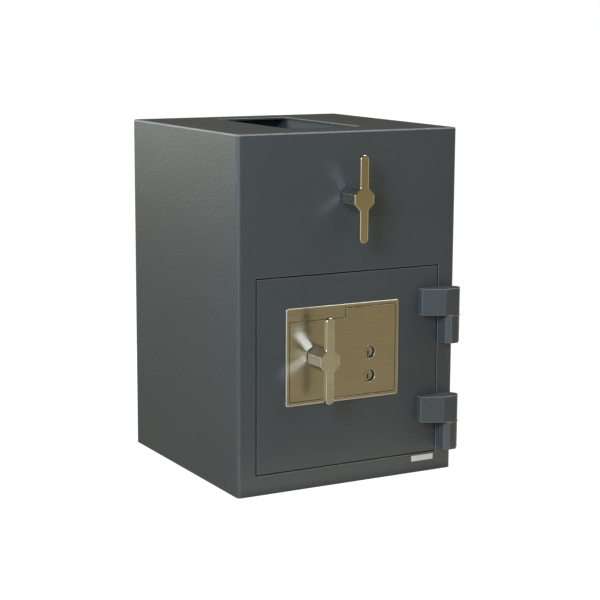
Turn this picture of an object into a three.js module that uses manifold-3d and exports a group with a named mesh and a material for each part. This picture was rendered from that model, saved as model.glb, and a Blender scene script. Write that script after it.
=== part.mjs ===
// A rotary hopper safe: a bent steel body with a drum hopper under its mouth, and a flush keyed door below.
// Millimetres. X points right, Y to the back and Z up. The origin is the centre of the underside.

import * as THREE from "three";
import { mergeVertices } from "three/addons/utils/BufferGeometryUtils.js";
import Module from "manifold-3d";

const wasm = await Module();
wasm.setup();

// Body: one bent sheet for front and sides, with welded top, bottom and back plates.
const BODY_WIDTH = 355.6;
const BODY_DEPTH = 355.6;
const BODY_HEIGHT = 508;
const SHELL = 3.2;
const BEND_OUTER = 5.5;
const TOP_EDGE_ROUND = 2.2;
const REAR_FLANGE = 20;
const ANCHOR_HOLE = 13;
const ANCHOR_SPACING = 160;
const ANCHOR_BACK_DISTANCE = 110;

// Door opening, the stepped frame welded behind it and the door plate.
const FRAME_SIDE = 27.5;
const FRAME_BOTTOM = 28.2;
const FASCIA_HEIGHT = 198.7;
const DOOR_GAP = 1.6;
const DOOR_PLATE = 12.7;
const DOOR_EDGE_ROUND = 0.8;
const LIP_GAP = 0.8;
const LIP_WIDTH = 8;
const LIP_PLATE = 5;
const FRAME_RISE = 24;

// Clearances shared by all the fits.
const FIT = 0.3;
const RUN_GAP = 0.3;

// Hinges.
const HINGE_SPACING = 160;
const HINGE_DROP = 11.3;
const HINGE_PIN_INSET = 13.3;
const HINGE_PIN_DIAMETER = 10;
const HINGE_PIN_REACH = 30;
const BARREL_RADIUS = 13.5;
const BARREL_CLEARANCE = 0.5;
const LEAF_HEIGHT = 39;
const LEAF_REACH = 48.5;
const LEAF_TIP_THICKNESS = 11;
const LEAF_THICKNESS = 26.5;
const LEAF_CREST = 17.5;
const LEAF_STEP_GAP = 0.2;
const KNUCKLE_HEIGHT = 41;
const KNUCKLE_REACH = 13;
const KNUCKLE_SHOULDER = 20;
const KNUCKLE_THICKNESS = 26;
const KNUCKLE_CHAMFER = 6.5;
const BARREL_FLAT = 5;
const BARREL_CHAMFER_END = THREE.MathUtils.degToRad(10);
const HINGE_WASHER = 1.3;

// Handles: both are the same octagonal hub with a flat bar.
const HUB_ACROSS_FLATS = 31.75;
const HANDLE_LENGTH = 123;
const HANDLE_BAR_THICKNESS = 7.5;
const HANDLE_REACH = 38.1;
const HANDLE_EDGE = 0.9;
const HANDLE_BORE_DEPTH = 26;
const HANDLE_WASHER_DIAMETER = 30;
const HANDLE_WASHER = 1.5;

// Door furniture.
const FACE_PLATE_WIDTH = 185;
const FACE_PLATE_HEIGHT = 140;
const FACE_PLATE_THICKNESS = 1.5;
const FACE_PLATE_CORNER = 3;
const FACE_PLATE_OFFSET_X = -10.5;
const FACE_PLATE_OFFSET_Z = 24.65;
const LINE_INSET = 5;
const LINE_WIDTH = 1;
const LINE_DEPTH = 0.4;
const NAME_FIELD_WIDTH = 90;
const NAME_FIELD_HEIGHT = 14;
const HANDLE_OFFSET_X = -43;
const HANDLE_OFFSET_Z = -1.9;
const DOOR_SPINDLE = 15.9;
const DOOR_BUSH_WALL = 3;
const LABEL_WIDTH = 37.5;
const LABEL_HEIGHT = 8.5;
const LABEL_THICKNESS = 0.6;
const LABEL_INSET = 50.5;
const LABEL_DROP = 7;

// Lock: two plugs in one case behind the hard plate.
const KEY_OFFSET_X = 43.5;
const KEY_OFFSET_Z = -3.4;
const KEY_SPACING = 34.5;
const PLUG_DIAMETER = 12.4;
const NOSE_WALL = 1.5;
const NOSE_RECESS = 4.5;
const PLUG_PROUD = 0.5;
const KEY_SLOT_WIDTH = 2.2;
const KEY_SLOT_HEIGHT = 7;
const KEY_SLOT_DROP = 2;
const KEY_SLOT_DEPTH = 12;
const RECESS_CLEARANCE = 1;
const HARD_PLATE = 3;
const LOCK_WIDTH = 60;
const LOCK_DEPTH = 22;
const LOCK_MARGIN = 26.75;
const PLUG_END_WALL = 5;
const LOCK_BOLT_WIDTH = 12;
const LOCK_BOLT_DEPTH = 8.4;
const LOCK_BOLT_LENGTH = 17;
const LOCK_BOLT_INSET = 3.2;
const LOCK_BOLT_TIP_DEPTH = 0.5;
const LOCK_BOLT_TRAVEL = 11;

// Boltwork on the back of the door.
const BOLT_DIAMETER = 25.4;
const BOLT_THROW = 25.4;
const BOLT_END_MARGIN = 46.2;
const BOLT_CLEARANCE = 0.8;
const BOLT_TIP_BEHIND_EDGE = 12.3;
const BOLT_CHAMFER = 2;
const BOLT_SCREW_HEAD = 13;
const BOLT_SCREW_HEIGHT = 6;
const GUIDE_WIDTH = 13;
const GUIDE_TIP_GAP = 4.9;
const GUIDE_WALL = 6;
const GUIDE_BACK_WALL = 3;
const GUIDE_FLANGE_GAP = 1;
const CARRIAGE_PLATE = 4;
const CARRIAGE_MARGIN = 15;
const CARRIAGE_NECK = 33;
const CARRIAGE_SHOULDER = 55;
const CARRIAGE_RIGHT = 29;
const CARRIAGE_ARM = 12;
const CARRIAGE_LUG = 8;
const CARRIAGE_LUG_GAP = 1.5;
const CRANK_TURN = Math.PI / 2;
const CRANK_PLATE = 6;
const CRANK_HUB_RADIUS = 13;
const CRANK_EYE_RADIUS = 8;
const CRANK_PIN = 8;
const CRANK_PIN_PROUD = 2;
const CRANK_SLOT_CLEARANCE = 0.9;
const STUD_DIAMETER = 8;
const STUD_HEAD = 14;
const STUD_HEAD_HEIGHT = 4;
const STUD_SPACING = 90;
const STUD_OFFSET = 8;
const STUD_CLEARANCE = 0.5;
const DEAD_BAR_WIDTH = 19;
const DEAD_BAR_HOOK = 5;
const DEAD_BAR_THICKNESS = 9;
const DEAD_BAR_END_MARGIN = 24;
const DEAD_BAR_GAP = 4.3;
const COVER_SHEET = 1.5;
const COVER_DEPTH = 41;
const COVER_SIDE_GAP = 1.5;
const COVER_END_GAP = 12;
const COVER_RIGHT_MARGIN = 16;

// Rotary hopper.
const MOUTH_WIDTH = 120;
const MOUTH_FRONT_MARGIN = 74.8;
const MOUTH_BACK_MARGIN = 51.8;
const DRUM_RADIUS = 82;
const DRUM_TOP_CLEARANCE = 7.3;
const DRUM_SHEET = 2;
const DRUM_DISC = 3;
const DRUM_END_MARGIN = 3;
const PAN_FLOOR_RADIUS = 16;
const HOPPER_SPINDLE = 19;
const HOPPER_BUSH_WALL = 3;
const BUSH_FLANGE = 3.5;
const BUSH_FLANGE_THICKNESS = 2;
const BUSH_LENGTH = 12;
const REAR_STUB_LENGTH = 18;
const HANGER_PLATE = 3;
const HANGER_WIDTH = 200;
const HANGER_DROP = 8;
const HANGER_CORNER = 40;
const HANGER_FRONT_GAP = 12;
const HANGER_REAR_GAP = 3;
const STOP_RADIUS = 60;
const STOP_DIAMETER = 10;
const STOP_LENGTH = 8;
const STOP_GAP = 0.6;
const GUARD_SHEET = 2;
const GUARD_CLEARANCE = 3;
const GUARD_SETBACK = 1;
const GUARD_FLANGE = 15;
const GUARD_END_ANGLE = THREE.MathUtils.degToRad(130);

// Facets.
const BEND_STEPS = 5;
const CORNER_STEPS = 8;
const SMALL_ROUND_STEPS = 20;
const ROUND_STEPS = 32;
const DRUM_STEPS = 72;
const GUARD_STEPS = 20;
const OVERCUT = 1;

// Places that follow from the sizes above.
const FRONT = -BODY_DEPTH / 2;
const BACK = BODY_DEPTH / 2;
const SIDE = BODY_WIDTH / 2;
const INNER_SIDE = SIDE - SHELL;
const INNER_FRONT = FRONT + SHELL;
const INNER_BACK = BACK - SHELL;
const INNER_TOP = BODY_HEIGHT - SHELL;
const OPENING_HALF = SIDE - FRAME_SIDE;
const OPENING_TOP = BODY_HEIGHT - FASCIA_HEIGHT;
const OPENING_HALF_HEIGHT = (OPENING_TOP - FRAME_BOTTOM) / 2;
const DOOR_HALF = OPENING_HALF - DOOR_GAP;
const DOOR_HALF_HEIGHT = OPENING_HALF_HEIGHT - DOOR_GAP;
const DOOR_Z = (OPENING_TOP + FRAME_BOTTOM) / 2;
const DOOR_BACK = FRONT + DOOR_PLATE;
const LIP_FRONT = DOOR_BACK + LIP_GAP;
const LIP_BACK = LIP_FRONT + LIP_PLATE;
const FACE_PLATE_FRONT = FRONT - FACE_PLATE_THICKNESS;
const HANDLE_X = FACE_PLATE_OFFSET_X + HANDLE_OFFSET_X;
const HANDLE_Z = FACE_PLATE_OFFSET_Z + HANDLE_OFFSET_Z;
const KEY_X = FACE_PLATE_OFFSET_X + KEY_OFFSET_X;
const UPPER_KEY_Z = FACE_PLATE_OFFSET_Z + KEY_OFFSET_Z;
const LOWER_KEY_Z = UPPER_KEY_Z - KEY_SPACING;
const HINGE_X = SIDE - HINGE_PIN_INSET;
const HINGE_Y = FRONT - BARREL_RADIUS - BARREL_CLEARANCE;
const HUB_SIDE = HUB_ACROSS_FLATS * Math.tan(Math.PI / 8);
const HOPPER_Z = INNER_TOP - DRUM_TOP_CLEARANCE - DRUM_RADIUS;
const MOUTH_FRONT = FRONT + MOUTH_FRONT_MARGIN;
const MOUTH_BACK = BACK - MOUTH_BACK_MARGIN;

// Solids and their joins.
function toSolid(geometry) {
  const bare = geometry.clone();
  bare.deleteAttribute("normal");
  bare.deleteAttribute("uv");
  const merged = mergeVertices(bare, 1e-4);
  return new wasm.Manifold(
    new wasm.Mesh({
      numProp: 3,
      vertProperties: new Float32Array(merged.attributes.position.array),
      triVerts: new Uint32Array(merged.index.array),
    }),
  );
}

function toGeometry(solid) {
  const mesh = solid.getMesh();
  const geometry = new THREE.BufferGeometry();
  geometry.setAttribute("position", new THREE.BufferAttribute(mesh.vertProperties, 3));
  geometry.setIndex(new THREE.BufferAttribute(mesh.triVerts, 1));
  geometry.computeVertexNormals();
  return geometry;
}

function cut(geometry, ...tools) {
  const left = tools.reduce((solid, tool) => solid.subtract(toSolid(tool)), toSolid(geometry));
  return toGeometry(left);
}

function join(geometry, ...more) {
  const whole = more.reduce((solid, piece) => solid.add(toSolid(piece)), toSolid(geometry));
  return toGeometry(whole);
}

// A box between two corners.
function block([x0, y0, z0], [x1, y1, z1]) {
  const box = new THREE.BoxGeometry(x1 - x0, y1 - y0, z1 - z0);
  return box.translate((x0 + x1) / 2, (y0 + y1) / 2, (z0 + z1) / 2);
}

// A round bar along Y from one depth to another, at a place in X and Z.
function rodY(diameter, y0, y1, x = 0, z = 0, steps = ROUND_STEPS) {
  const bar = new THREE.CylinderGeometry(diameter / 2, diameter / 2, y1 - y0, steps);
  return bar.translate(x, (y0 + y1) / 2, z);
}

function rodX(diameter, x0, x1, y, z, steps = ROUND_STEPS) {
  const bar = new THREE.CylinderGeometry(diameter / 2, diameter / 2, x1 - x0, steps);
  return bar.rotateZ(Math.PI / 2).translate((x0 + x1) / 2, y, z);
}

function rodZ(diameter, z0, z1, x, y, steps = ROUND_STEPS) {
  const bar = new THREE.CylinderGeometry(diameter / 2, diameter / 2, z1 - z0, steps);
  return bar.rotateX(Math.PI / 2).translate(x, y, (z0 + z1) / 2);
}

// A ring turned about an axis along Y, from a closed profile of [radius, y] corners given anticlockwise.
function turned(profile, steps = ROUND_STEPS) {
  const points = [...profile, profile[0]].map(([radius, y]) => new THREE.Vector2(radius, y));
  return new THREE.LatheGeometry(points, steps);
}

function outline(corners) {
  return new THREE.Shape(corners.map(([x, y]) => new THREE.Vector2(x, y)));
}

// An outline drawn in X and Y, raised from one height to another.
function raised(shape, z0, z1) {
  const geometry = new THREE.ExtrudeGeometry(shape, { depth: z1 - z0, bevelEnabled: false });
  return geometry.translate(0, 0, z0);
}

// An outline drawn in X and Z, carried back from y0 to y1.
function carriedBack(shape, y0, y1) {
  const geometry = new THREE.ExtrudeGeometry(shape, { depth: y1 - y0, bevelEnabled: false });
  return geometry.rotateX(Math.PI / 2).translate(0, y1, 0);
}

// An outline drawn in X and Z, carried back from y0 to y1, with its front edge eased.
function easedFront(shape, y0, y1, ease) {
  const geometry = new THREE.ExtrudeGeometry(shape, {
    depth: y1 - y0,
    bevelEnabled: true,
    bevelThickness: ease,
    bevelSize: ease,
    bevelOffset: -ease,
    bevelSegments: 2,
  });
  geometry.rotateX(Math.PI / 2).translate(0, y1 + ease, 0);
  geometry.computeBoundingBox();
  const { min, max } = geometry.boundingBox;
  const waste = block(
    [min.x - OVERCUT, y1, min.z - OVERCUT],
    [max.x + OVERCUT, max.y + OVERCUT, max.z + OVERCUT],
  );
  return cut(geometry, waste);
}

// Points of an arc about a centre, between two angles.
function arc(cx, cy, radius, from, to, steps) {
  return Array.from({ length: steps + 1 }, (_, i) => {
    const angle = from + ((to - from) * i) / steps;
    return [cx + radius * Math.cos(angle), cy + radius * Math.sin(angle)];
  });
}

// The same line with each inner corner rounded to a radius.
function rounded(corners, radius, steps = BEND_STEPS) {
  const points = corners.map(([x, y]) => new THREE.Vector2(x, y));
  const line = [corners[0]];
  for (let i = 1; i < points.length - 1; i++) {
    const arriving = points[i].clone().sub(points[i - 1]).normalize();
    const leaving = points[i + 1].clone().sub(points[i]).normalize();
    const turn = Math.asin(THREE.MathUtils.clamp(arriving.cross(leaving), -1, 1));
    const side = Math.sign(turn);
    const start = points[i].clone().addScaledVector(arriving, -radius * Math.tan(Math.abs(turn) / 2));
    const cx = start.x - arriving.y * radius * side;
    const cy = start.y + arriving.x * radius * side;
    const from = Math.atan2(start.y - cy, start.x - cx);
    line.push(...arc(cx, cy, radius, from, from + turn, steps));
  }
  line.push(corners.at(-1));
  return line;
}

// A closed outline with all its corners rounded.
function roundedOutline(corners, radius, steps = BEND_STEPS) {
  const [ax, ay] = corners.at(-1);
  const [bx, by] = corners[0];
  const middle = [(ax + bx) / 2, (ay + by) / 2];
  return outline(rounded([middle, ...corners, middle], radius, steps).slice(1));
}

function rectangle(x0, y0, x1, y1) {
  return [
    [x0, y0],
    [x1, y0],
    [x1, y1],
    [x0, y1],
  ];
}

// A slot with round ends: its two end centres and its width.
function slot([ax, ay], [bx, by], width, steps = CORNER_STEPS) {
  const along = Math.atan2(by - ay, bx - ax);
  const quarter = Math.PI / 2;
  return outline([
    ...arc(bx, by, width / 2, along - quarter, along + quarter, steps),
    ...arc(ax, ay, width / 2, along + quarter, along + 3 * quarter, steps),
  ]);
}

// The section of a bent sheet: a line, and the same line moved sideways by the thickness (left is positive).
function sheet(line, thickness) {
  const points = line.map(([x, y]) => new THREE.Vector2(x, y));
  const normals = points.slice(1).map((point, i) => {
    const along = point.clone().sub(points[i]).normalize();
    return new THREE.Vector2(-along.y, along.x);
  });
  const moved = points.map((point, i) => {
    const before = normals[Math.max(i - 1, 0)];
    const after = normals[Math.min(i, normals.length - 1)];
    const mitre = before.clone().add(after);
    mitre.multiplyScalar((2 * thickness) / mitre.lengthSq());
    return point.clone().add(mitre);
  });
  return new THREE.Shape([...points, ...moved.reverse()]);
}

// Finishes.
const finish = (color, roughness, metalness) => ({ color, roughness, metalness });
const PAINT = finish(0x474f54, 0.5, 0.2);
const INNER_PAINT = finish(0x3c4347, 0.6, 0.2);
const NICKEL = finish(0xb8aa88, 0.28, 1);
const BRIGHT_STEEL = finish(0xc4c6c4, 0.3, 1);
const ZINC_STEEL = finish(0x9fa3a2, 0.42, 1);
const BRONZE = finish(0xa8803f, 0.4, 1);
const NYLON = finish(0x1d1d1f, 0.5, 0);
const ALUMINIUM = finish(0xb9bbbb, 0.4, 1);

function piece(name, geometry, look) {
  const mesh = new THREE.Mesh(geometry, new THREE.MeshStandardMaterial(look));
  mesh.name = name;
  return mesh;
}

// Body wrap: front, both sides and the two rear return flanges are one bent sheet.
function bodyWrap() {
  const plan = rounded(
    [
      [-SIDE + REAR_FLANGE, BACK],
      [-SIDE, BACK],
      [-SIDE, FRONT],
      [SIDE, FRONT],
      [SIDE, BACK],
      [SIDE - REAR_FLANGE, BACK],
    ],
    BEND_OUTER,
  );
  const opening = block(
    [-OPENING_HALF, FRONT - OVERCUT, FRAME_BOTTOM],
    [OPENING_HALF, INNER_FRONT + OVERCUT, OPENING_TOP],
  );
  const bushHole = rodY(
    HOPPER_SPINDLE + 2 * (FIT + HOPPER_BUSH_WALL + FIT),
    FRONT - OVERCUT,
    INNER_FRONT + OVERCUT,
    0,
    HOPPER_Z,
  );
  return cut(raised(sheet(plan, SHELL), 0, INNER_TOP), opening, bushHole);
}

// Top plate: its upper edges are ground round, and the mouth is cut through it.
function topPlate() {
  const corners = rectangle(-SIDE, FRONT, SIDE, BACK);
  const plate = new THREE.ExtrudeGeometry(roundedOutline(corners, BEND_OUTER), {
    depth: SHELL,
    bevelEnabled: true,
    bevelThickness: TOP_EDGE_ROUND,
    bevelSize: TOP_EDGE_ROUND,
    bevelOffset: -TOP_EDGE_ROUND,
    bevelSegments: 3,
  });
  plate.translate(0, 0, INNER_TOP - TOP_EDGE_ROUND);
  const waste = block(
    [-BODY_WIDTH, -BODY_DEPTH, INNER_TOP - 2 * TOP_EDGE_ROUND - OVERCUT],
    [BODY_WIDTH, BODY_DEPTH, INNER_TOP],
  );
  const mouth = block(
    [-MOUTH_WIDTH / 2, MOUTH_FRONT, INNER_TOP - OVERCUT],
    [MOUTH_WIDTH / 2, MOUTH_BACK, BODY_HEIGHT + OVERCUT],
  );
  return cut(plate, waste, mouth);
}

// Bottom plate: it lies inside the wrap, flush with its lower edge, with two holes for floor bolts.
function bottomPlate() {
  const corners = rectangle(-INNER_SIDE, INNER_FRONT, INNER_SIDE, INNER_BACK);
  const plate = raised(roundedOutline(corners, BEND_OUTER - SHELL + 2 * FIT), 0, SHELL);
  const anchorY = BACK - ANCHOR_BACK_DISTANCE;
  const holes = [-1, 1].map((side) =>
    rodZ(ANCHOR_HOLE, -OVERCUT, SHELL + OVERCUT, (side * ANCHOR_SPACING) / 2, anchorY),
  );
  return cut(plate, ...holes);
}

function backPlate() {
  return block([-SIDE + REAR_FLANGE, INNER_BACK, 0], [SIDE - REAR_FLANGE, BACK, INNER_TOP]);
}

// Door frame: a heavy ring behind the front sheet. It steps in to a stop lip on three sides, and on the
// hinge side it stays clear for the dead bar.
function doorFrame() {
  const outerX = INNER_SIDE - (BEND_OUTER - SHELL) - FIT;
  const ring = block([-outerX, INNER_FRONT, SHELL], [outerX, LIP_BACK, OPENING_TOP + FRAME_RISE]);
  const rebate = block(
    [-OPENING_HALF, INNER_FRONT - OVERCUT, FRAME_BOTTOM],
    [OPENING_HALF, LIP_FRONT, OPENING_TOP],
  );
  const throat = block(
    [-OPENING_HALF + LIP_WIDTH, INNER_FRONT - OVERCUT, FRAME_BOTTOM + LIP_WIDTH],
    [OPENING_HALF, LIP_BACK + OVERCUT, OPENING_TOP - LIP_WIDTH],
  );
  const hookSpace = block(
    [OPENING_HALF - OVERCUT, LIP_FRONT, FRAME_BOTTOM + LIP_WIDTH],
    [outerX + OVERCUT, LIP_BACK + OVERCUT, OPENING_TOP - LIP_WIDTH],
  );
  return cut(ring, rebate, throat, hookSpace);
}

function labelPlate() {
  const x = SIDE - LABEL_INSET;
  const z = FRAME_BOTTOM - LABEL_DROP;
  return block(
    [x - LABEL_WIDTH / 2, FRONT - LABEL_THICKNESS, z - LABEL_HEIGHT / 2],
    [x + LABEL_WIDTH / 2, FRONT, z + LABEL_HEIGHT / 2],
  );
}

// Hinge plan, drawn as corners [across from the pin, out from the front face].
function hingePlan(corners) {
  return outline(corners.map(([across, out]) => [HINGE_X + across, FRONT - out]));
}

const PIN_OUT = BARREL_RADIUS + BARREL_CLEARANCE;

// The barrel's outside from its front flat round to an angle behind the pin.
function barrelArc(toAngle) {
  return arc(0, PIN_OUT, BARREL_RADIUS, BARREL_CHAMFER_END, toAngle, 2 * BEND_STEPS);
}

// Door leaf: it rises from a thin tip on the door to a crest, and its round back turns clear of the frame.
function hingeLeaf(z) {
  const step = HINGE_X - DOOR_HALF + LEAF_STEP_GAP;
  const plan = hingePlan([
    [-LEAF_REACH, 0],
    [-LEAF_REACH, LEAF_TIP_THICKNESS],
    [-LEAF_CREST, LEAF_THICKNESS],
    [BARREL_FLAT, LEAF_THICKNESS],
    ...barrelArc(-Math.PI / 2),
    [-step, BARREL_CLEARANCE],
    [-step, 0],
  ]);
  const bore = rodZ(
    HINGE_PIN_DIAMETER + 2 * FIT,
    z - OVERCUT,
    z + HINGE_PIN_REACH + FIT,
    HINGE_X,
    HINGE_Y,
  );
  return cut(raised(plan, z, z + LEAF_HEIGHT), bore);
}

// Body knuckle: welded to the frame below each leaf. The pin stands in it.
function hingeKnuckle(top) {
  const plan = hingePlan([
    [-KNUCKLE_REACH, 0],
    [-KNUCKLE_REACH, KNUCKLE_SHOULDER],
    [-KNUCKLE_REACH + KNUCKLE_CHAMFER, KNUCKLE_THICKNESS],
    [BARREL_FLAT, KNUCKLE_THICKNESS],
    ...barrelArc(-Math.PI / 6),
    [HINGE_PIN_INSET - BEND_OUTER, 0],
  ]);
  const bore = rodZ(
    HINGE_PIN_DIAMETER + 2 * FIT,
    top - HINGE_PIN_REACH - FIT,
    top + OVERCUT,
    HINGE_X,
    HINGE_Y,
  );
  return cut(raised(plan, top - KNUCKLE_HEIGHT, top), bore);
}

function hingeWasher(z) {
  const disc = rodZ(2 * (BARREL_RADIUS - FIT), z, z + HINGE_WASHER, HINGE_X, HINGE_Y);
  const hole = rodZ(
    HINGE_PIN_DIAMETER + 2 * FIT,
    z - OVERCUT,
    z + HINGE_WASHER + OVERCUT,
    HINGE_X,
    HINGE_Y,
  );
  return cut(disc, hole);
}

function hingePin(knuckleTop, leafBottom) {
  const from = knuckleTop - HINGE_PIN_REACH;
  const to = leafBottom + HINGE_PIN_REACH;
  return rodZ(HINGE_PIN_DIAMETER, from, to, HINGE_X, HINGE_Y);
}

// Handle casting about its own axis: an octagonal hub with a round-ended bar across its front.
function handle(face, spindle) {
  const base = face - HANDLE_WASHER - RUN_GAP;
  const front = face - HANDLE_REACH;
  const hubCorners = Array.from({ length: 8 }, (_, i) => {
    const angle = (Math.PI / 4) * (i + 0.5);
    const radius = HUB_ACROSS_FLATS / 2 / Math.cos(Math.PI / 8);
    return [radius * Math.cos(angle), radius * Math.sin(angle)];
  });
  const hub = easedFront(outline(hubCorners), front, base, HANDLE_EDGE);
  const reach = (HANDLE_LENGTH - HUB_SIDE) / 2;
  const bar = new THREE.ExtrudeGeometry(slot([0, -reach], [0, reach], HUB_SIDE), {
    depth: HANDLE_BAR_THICKNESS - 2 * HANDLE_EDGE,
    bevelEnabled: true,
    bevelThickness: HANDLE_EDGE,
    bevelSize: HANDLE_EDGE,
    bevelOffset: -HANDLE_EDGE,
    bevelSegments: 2,
  });
  bar.rotateX(Math.PI / 2).translate(0, front + HANDLE_BAR_THICKNESS - HANDLE_EDGE, 0);
  const bore = rodY(spindle + 2 * FIT, base - HANDLE_BORE_DEPTH, base + OVERCUT);
  return cut(join(hub, bar), bore);
}

function handleWasher(face, spindle) {
  return turned([
    [spindle / 2 + FIT, face - HANDLE_WASHER],
    [HANDLE_WASHER_DIAMETER / 2, face - HANDLE_WASHER],
    [HANDLE_WASHER_DIAMETER / 2, face],
    [spindle / 2 + FIT, face],
  ]);
}

// The spindle's front end stands in the handle's bore.
function spindleFront(face) {
  return face - HANDLE_WASHER - RUN_GAP - HANDLE_BORE_DEPTH + FIT;
}

// Door plate with the holes for the spindle bush and the two lock noses.
const DOOR_BUSH_OUTER = DOOR_SPINDLE + 2 * (FIT + DOOR_BUSH_WALL);
const NOSE_INNER = PLUG_DIAMETER + 2 * FIT;
const NOSE_OUTER = NOSE_INNER + 2 * NOSE_WALL;

function doorPlate() {
  const corners = rectangle(-DOOR_HALF, -DOOR_HALF_HEIGHT, DOOR_HALF, DOOR_HALF_HEIGHT);
  const plate = easedFront(outline(corners), FRONT, DOOR_BACK, DOOR_EDGE_ROUND);
  const from = FRONT - OVERCUT;
  const to = DOOR_BACK + OVERCUT;
  return cut(
    plate,
    rodY(DOOR_BUSH_OUTER + 2 * FIT, from, to, HANDLE_X, HANDLE_Z),
    rodY(NOSE_OUTER + 2 * FIT, from, to, KEY_X, UPPER_KEY_Z),
    rodY(NOSE_OUTER + 2 * FIT, from, to, KEY_X, LOWER_KEY_Z),
  );
}

// Face plate: a thin sheet with one engraved line near its rim. The line steps in round the bare name field.
function facePlate() {
  const halfX = FACE_PLATE_WIDTH / 2;
  const halfZ = FACE_PLATE_HEIGHT / 2;
  const x = FACE_PLATE_OFFSET_X;
  const z = FACE_PLATE_OFFSET_Z;
  const plate = carriedBack(
    roundedOutline(rectangle(x - halfX, z - halfZ, x + halfX, z + halfZ), FACE_PLATE_CORNER, 3),
    FACE_PLATE_FRONT,
    FRONT,
  );
  const lineOutline = (inset) => {
    const left = x - halfX + inset;
    const right = x + halfX - inset;
    const bottom = z - halfZ + inset;
    const top = z + halfZ - inset;
    const fieldRight = left + NAME_FIELD_WIDTH;
    const fieldBottom = top - NAME_FIELD_HEIGHT;
    return outline([
      [left, bottom],
      [right, bottom],
      [right, top],
      [fieldRight, top],
      [fieldRight, fieldBottom],
      [left, fieldBottom],
    ]);
  };
  const grooveFront = FACE_PLATE_FRONT - OVERCUT;
  const grooveBack = FACE_PLATE_FRONT + LINE_DEPTH;
  const groove = cut(
    carriedBack(lineOutline(LINE_INSET), grooveFront, grooveBack),
    carriedBack(lineOutline(LINE_INSET + LINE_WIDTH), grooveFront - OVERCUT, grooveBack + OVERCUT),
  );
  const from = FACE_PLATE_FRONT - OVERCUT;
  const to = FRONT + OVERCUT;
  const recess = NOSE_OUTER + 2 * (FIT + RECESS_CLEARANCE);
  return cut(
    plate,
    groove,
    rodY(DOOR_BUSH_OUTER + 2 * FIT, from, to, HANDLE_X, HANDLE_Z),
    rodY(recess, from, to, KEY_X, UPPER_KEY_Z),
    rodY(recess, from, to, KEY_X, LOWER_KEY_Z),
  );
}

function doorBush() {
  return turned([
    [DOOR_SPINDLE / 2 + FIT, FRONT + FIT],
    [DOOR_BUSH_OUTER / 2, FRONT + FIT],
    [DOOR_BUSH_OUTER / 2, DOOR_BACK],
    [DOOR_SPINDLE / 2 + FIT, DOOR_BACK],
  ]);
}

// Lock: hard plate, then the case with its two tubular noses that reach into the door.
const LOCK_FRONT = DOOR_BACK + HARD_PLATE;
const LOCK_BACK = LOCK_FRONT + LOCK_DEPTH;
const LOCK_TOP = UPPER_KEY_Z + LOCK_MARGIN;
const LOCK_BOTTOM = LOWER_KEY_Z - LOCK_MARGIN;
const NOSE_FRONT = FACE_PLATE_FRONT + NOSE_RECESS;
const LOCK_BOLT_FRONT = LOCK_FRONT + LOCK_BOLT_INSET;
const LOCK_BOLT_BACK = LOCK_BOLT_FRONT + LOCK_BOLT_DEPTH;
const LOCK_BOLT_TOP = LOCK_TOP - LOCK_BOLT_TIP_DEPTH;

function hardPlate() {
  const plate = block(
    [KEY_X - LOCK_WIDTH / 2, DOOR_BACK, LOCK_BOTTOM],
    [KEY_X + LOCK_WIDTH / 2, LOCK_FRONT, LOCK_TOP],
  );
  const holes = [UPPER_KEY_Z, LOWER_KEY_Z].map((z) =>
    rodY(NOSE_OUTER + 2 * FIT, DOOR_BACK - OVERCUT, LOCK_FRONT + OVERCUT, KEY_X, z),
  );
  return cut(plate, ...holes);
}

function lockCase() {
  const box = block(
    [KEY_X - LOCK_WIDTH / 2, LOCK_FRONT, LOCK_BOTTOM],
    [KEY_X + LOCK_WIDTH / 2, LOCK_BACK, LOCK_TOP],
  );
  const noses = [UPPER_KEY_Z, LOWER_KEY_Z].map((z) =>
    rodY(NOSE_OUTER, NOSE_FRONT, LOCK_FRONT + OVERCUT, KEY_X, z),
  );
  const bores = [UPPER_KEY_Z, LOWER_KEY_Z].map((z) =>
    rodY(NOSE_INNER, NOSE_FRONT - OVERCUT, LOCK_BACK - PLUG_END_WALL, KEY_X, z),
  );
  const channel = block(
    [
      KEY_X - LOCK_BOLT_WIDTH / 2 - FIT,
      LOCK_BOLT_FRONT - FIT,
      LOCK_BOLT_TOP - LOCK_BOLT_LENGTH - FIT,
    ],
    [KEY_X + LOCK_BOLT_WIDTH / 2 + FIT, LOCK_BOLT_BACK + FIT, LOCK_TOP + OVERCUT],
  );
  return cut(join(box, ...noses), ...bores, channel);
}

// Key plug about its own axis. Its slot for the key sits a little below the middle.
function keyPlug() {
  const front = NOSE_FRONT - PLUG_PROUD;
  const plug = rodY(PLUG_DIAMETER, front, LOCK_BACK - PLUG_END_WALL - FIT);
  const keySlot = block(
    [-KEY_SLOT_WIDTH / 2, front - OVERCUT, -KEY_SLOT_DROP - KEY_SLOT_HEIGHT / 2],
    [KEY_SLOT_WIDTH / 2, front + KEY_SLOT_DEPTH, -KEY_SLOT_DROP + KEY_SLOT_HEIGHT / 2],
  );
  return cut(plug, keySlot);
}

function lockBolt() {
  return block(
    [KEY_X - LOCK_BOLT_WIDTH / 2, LOCK_BOLT_FRONT, LOCK_BOLT_TOP - LOCK_BOLT_LENGTH],
    [KEY_X + LOCK_BOLT_WIDTH / 2, LOCK_BOLT_BACK, LOCK_BOLT_TOP],
  );
}

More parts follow.
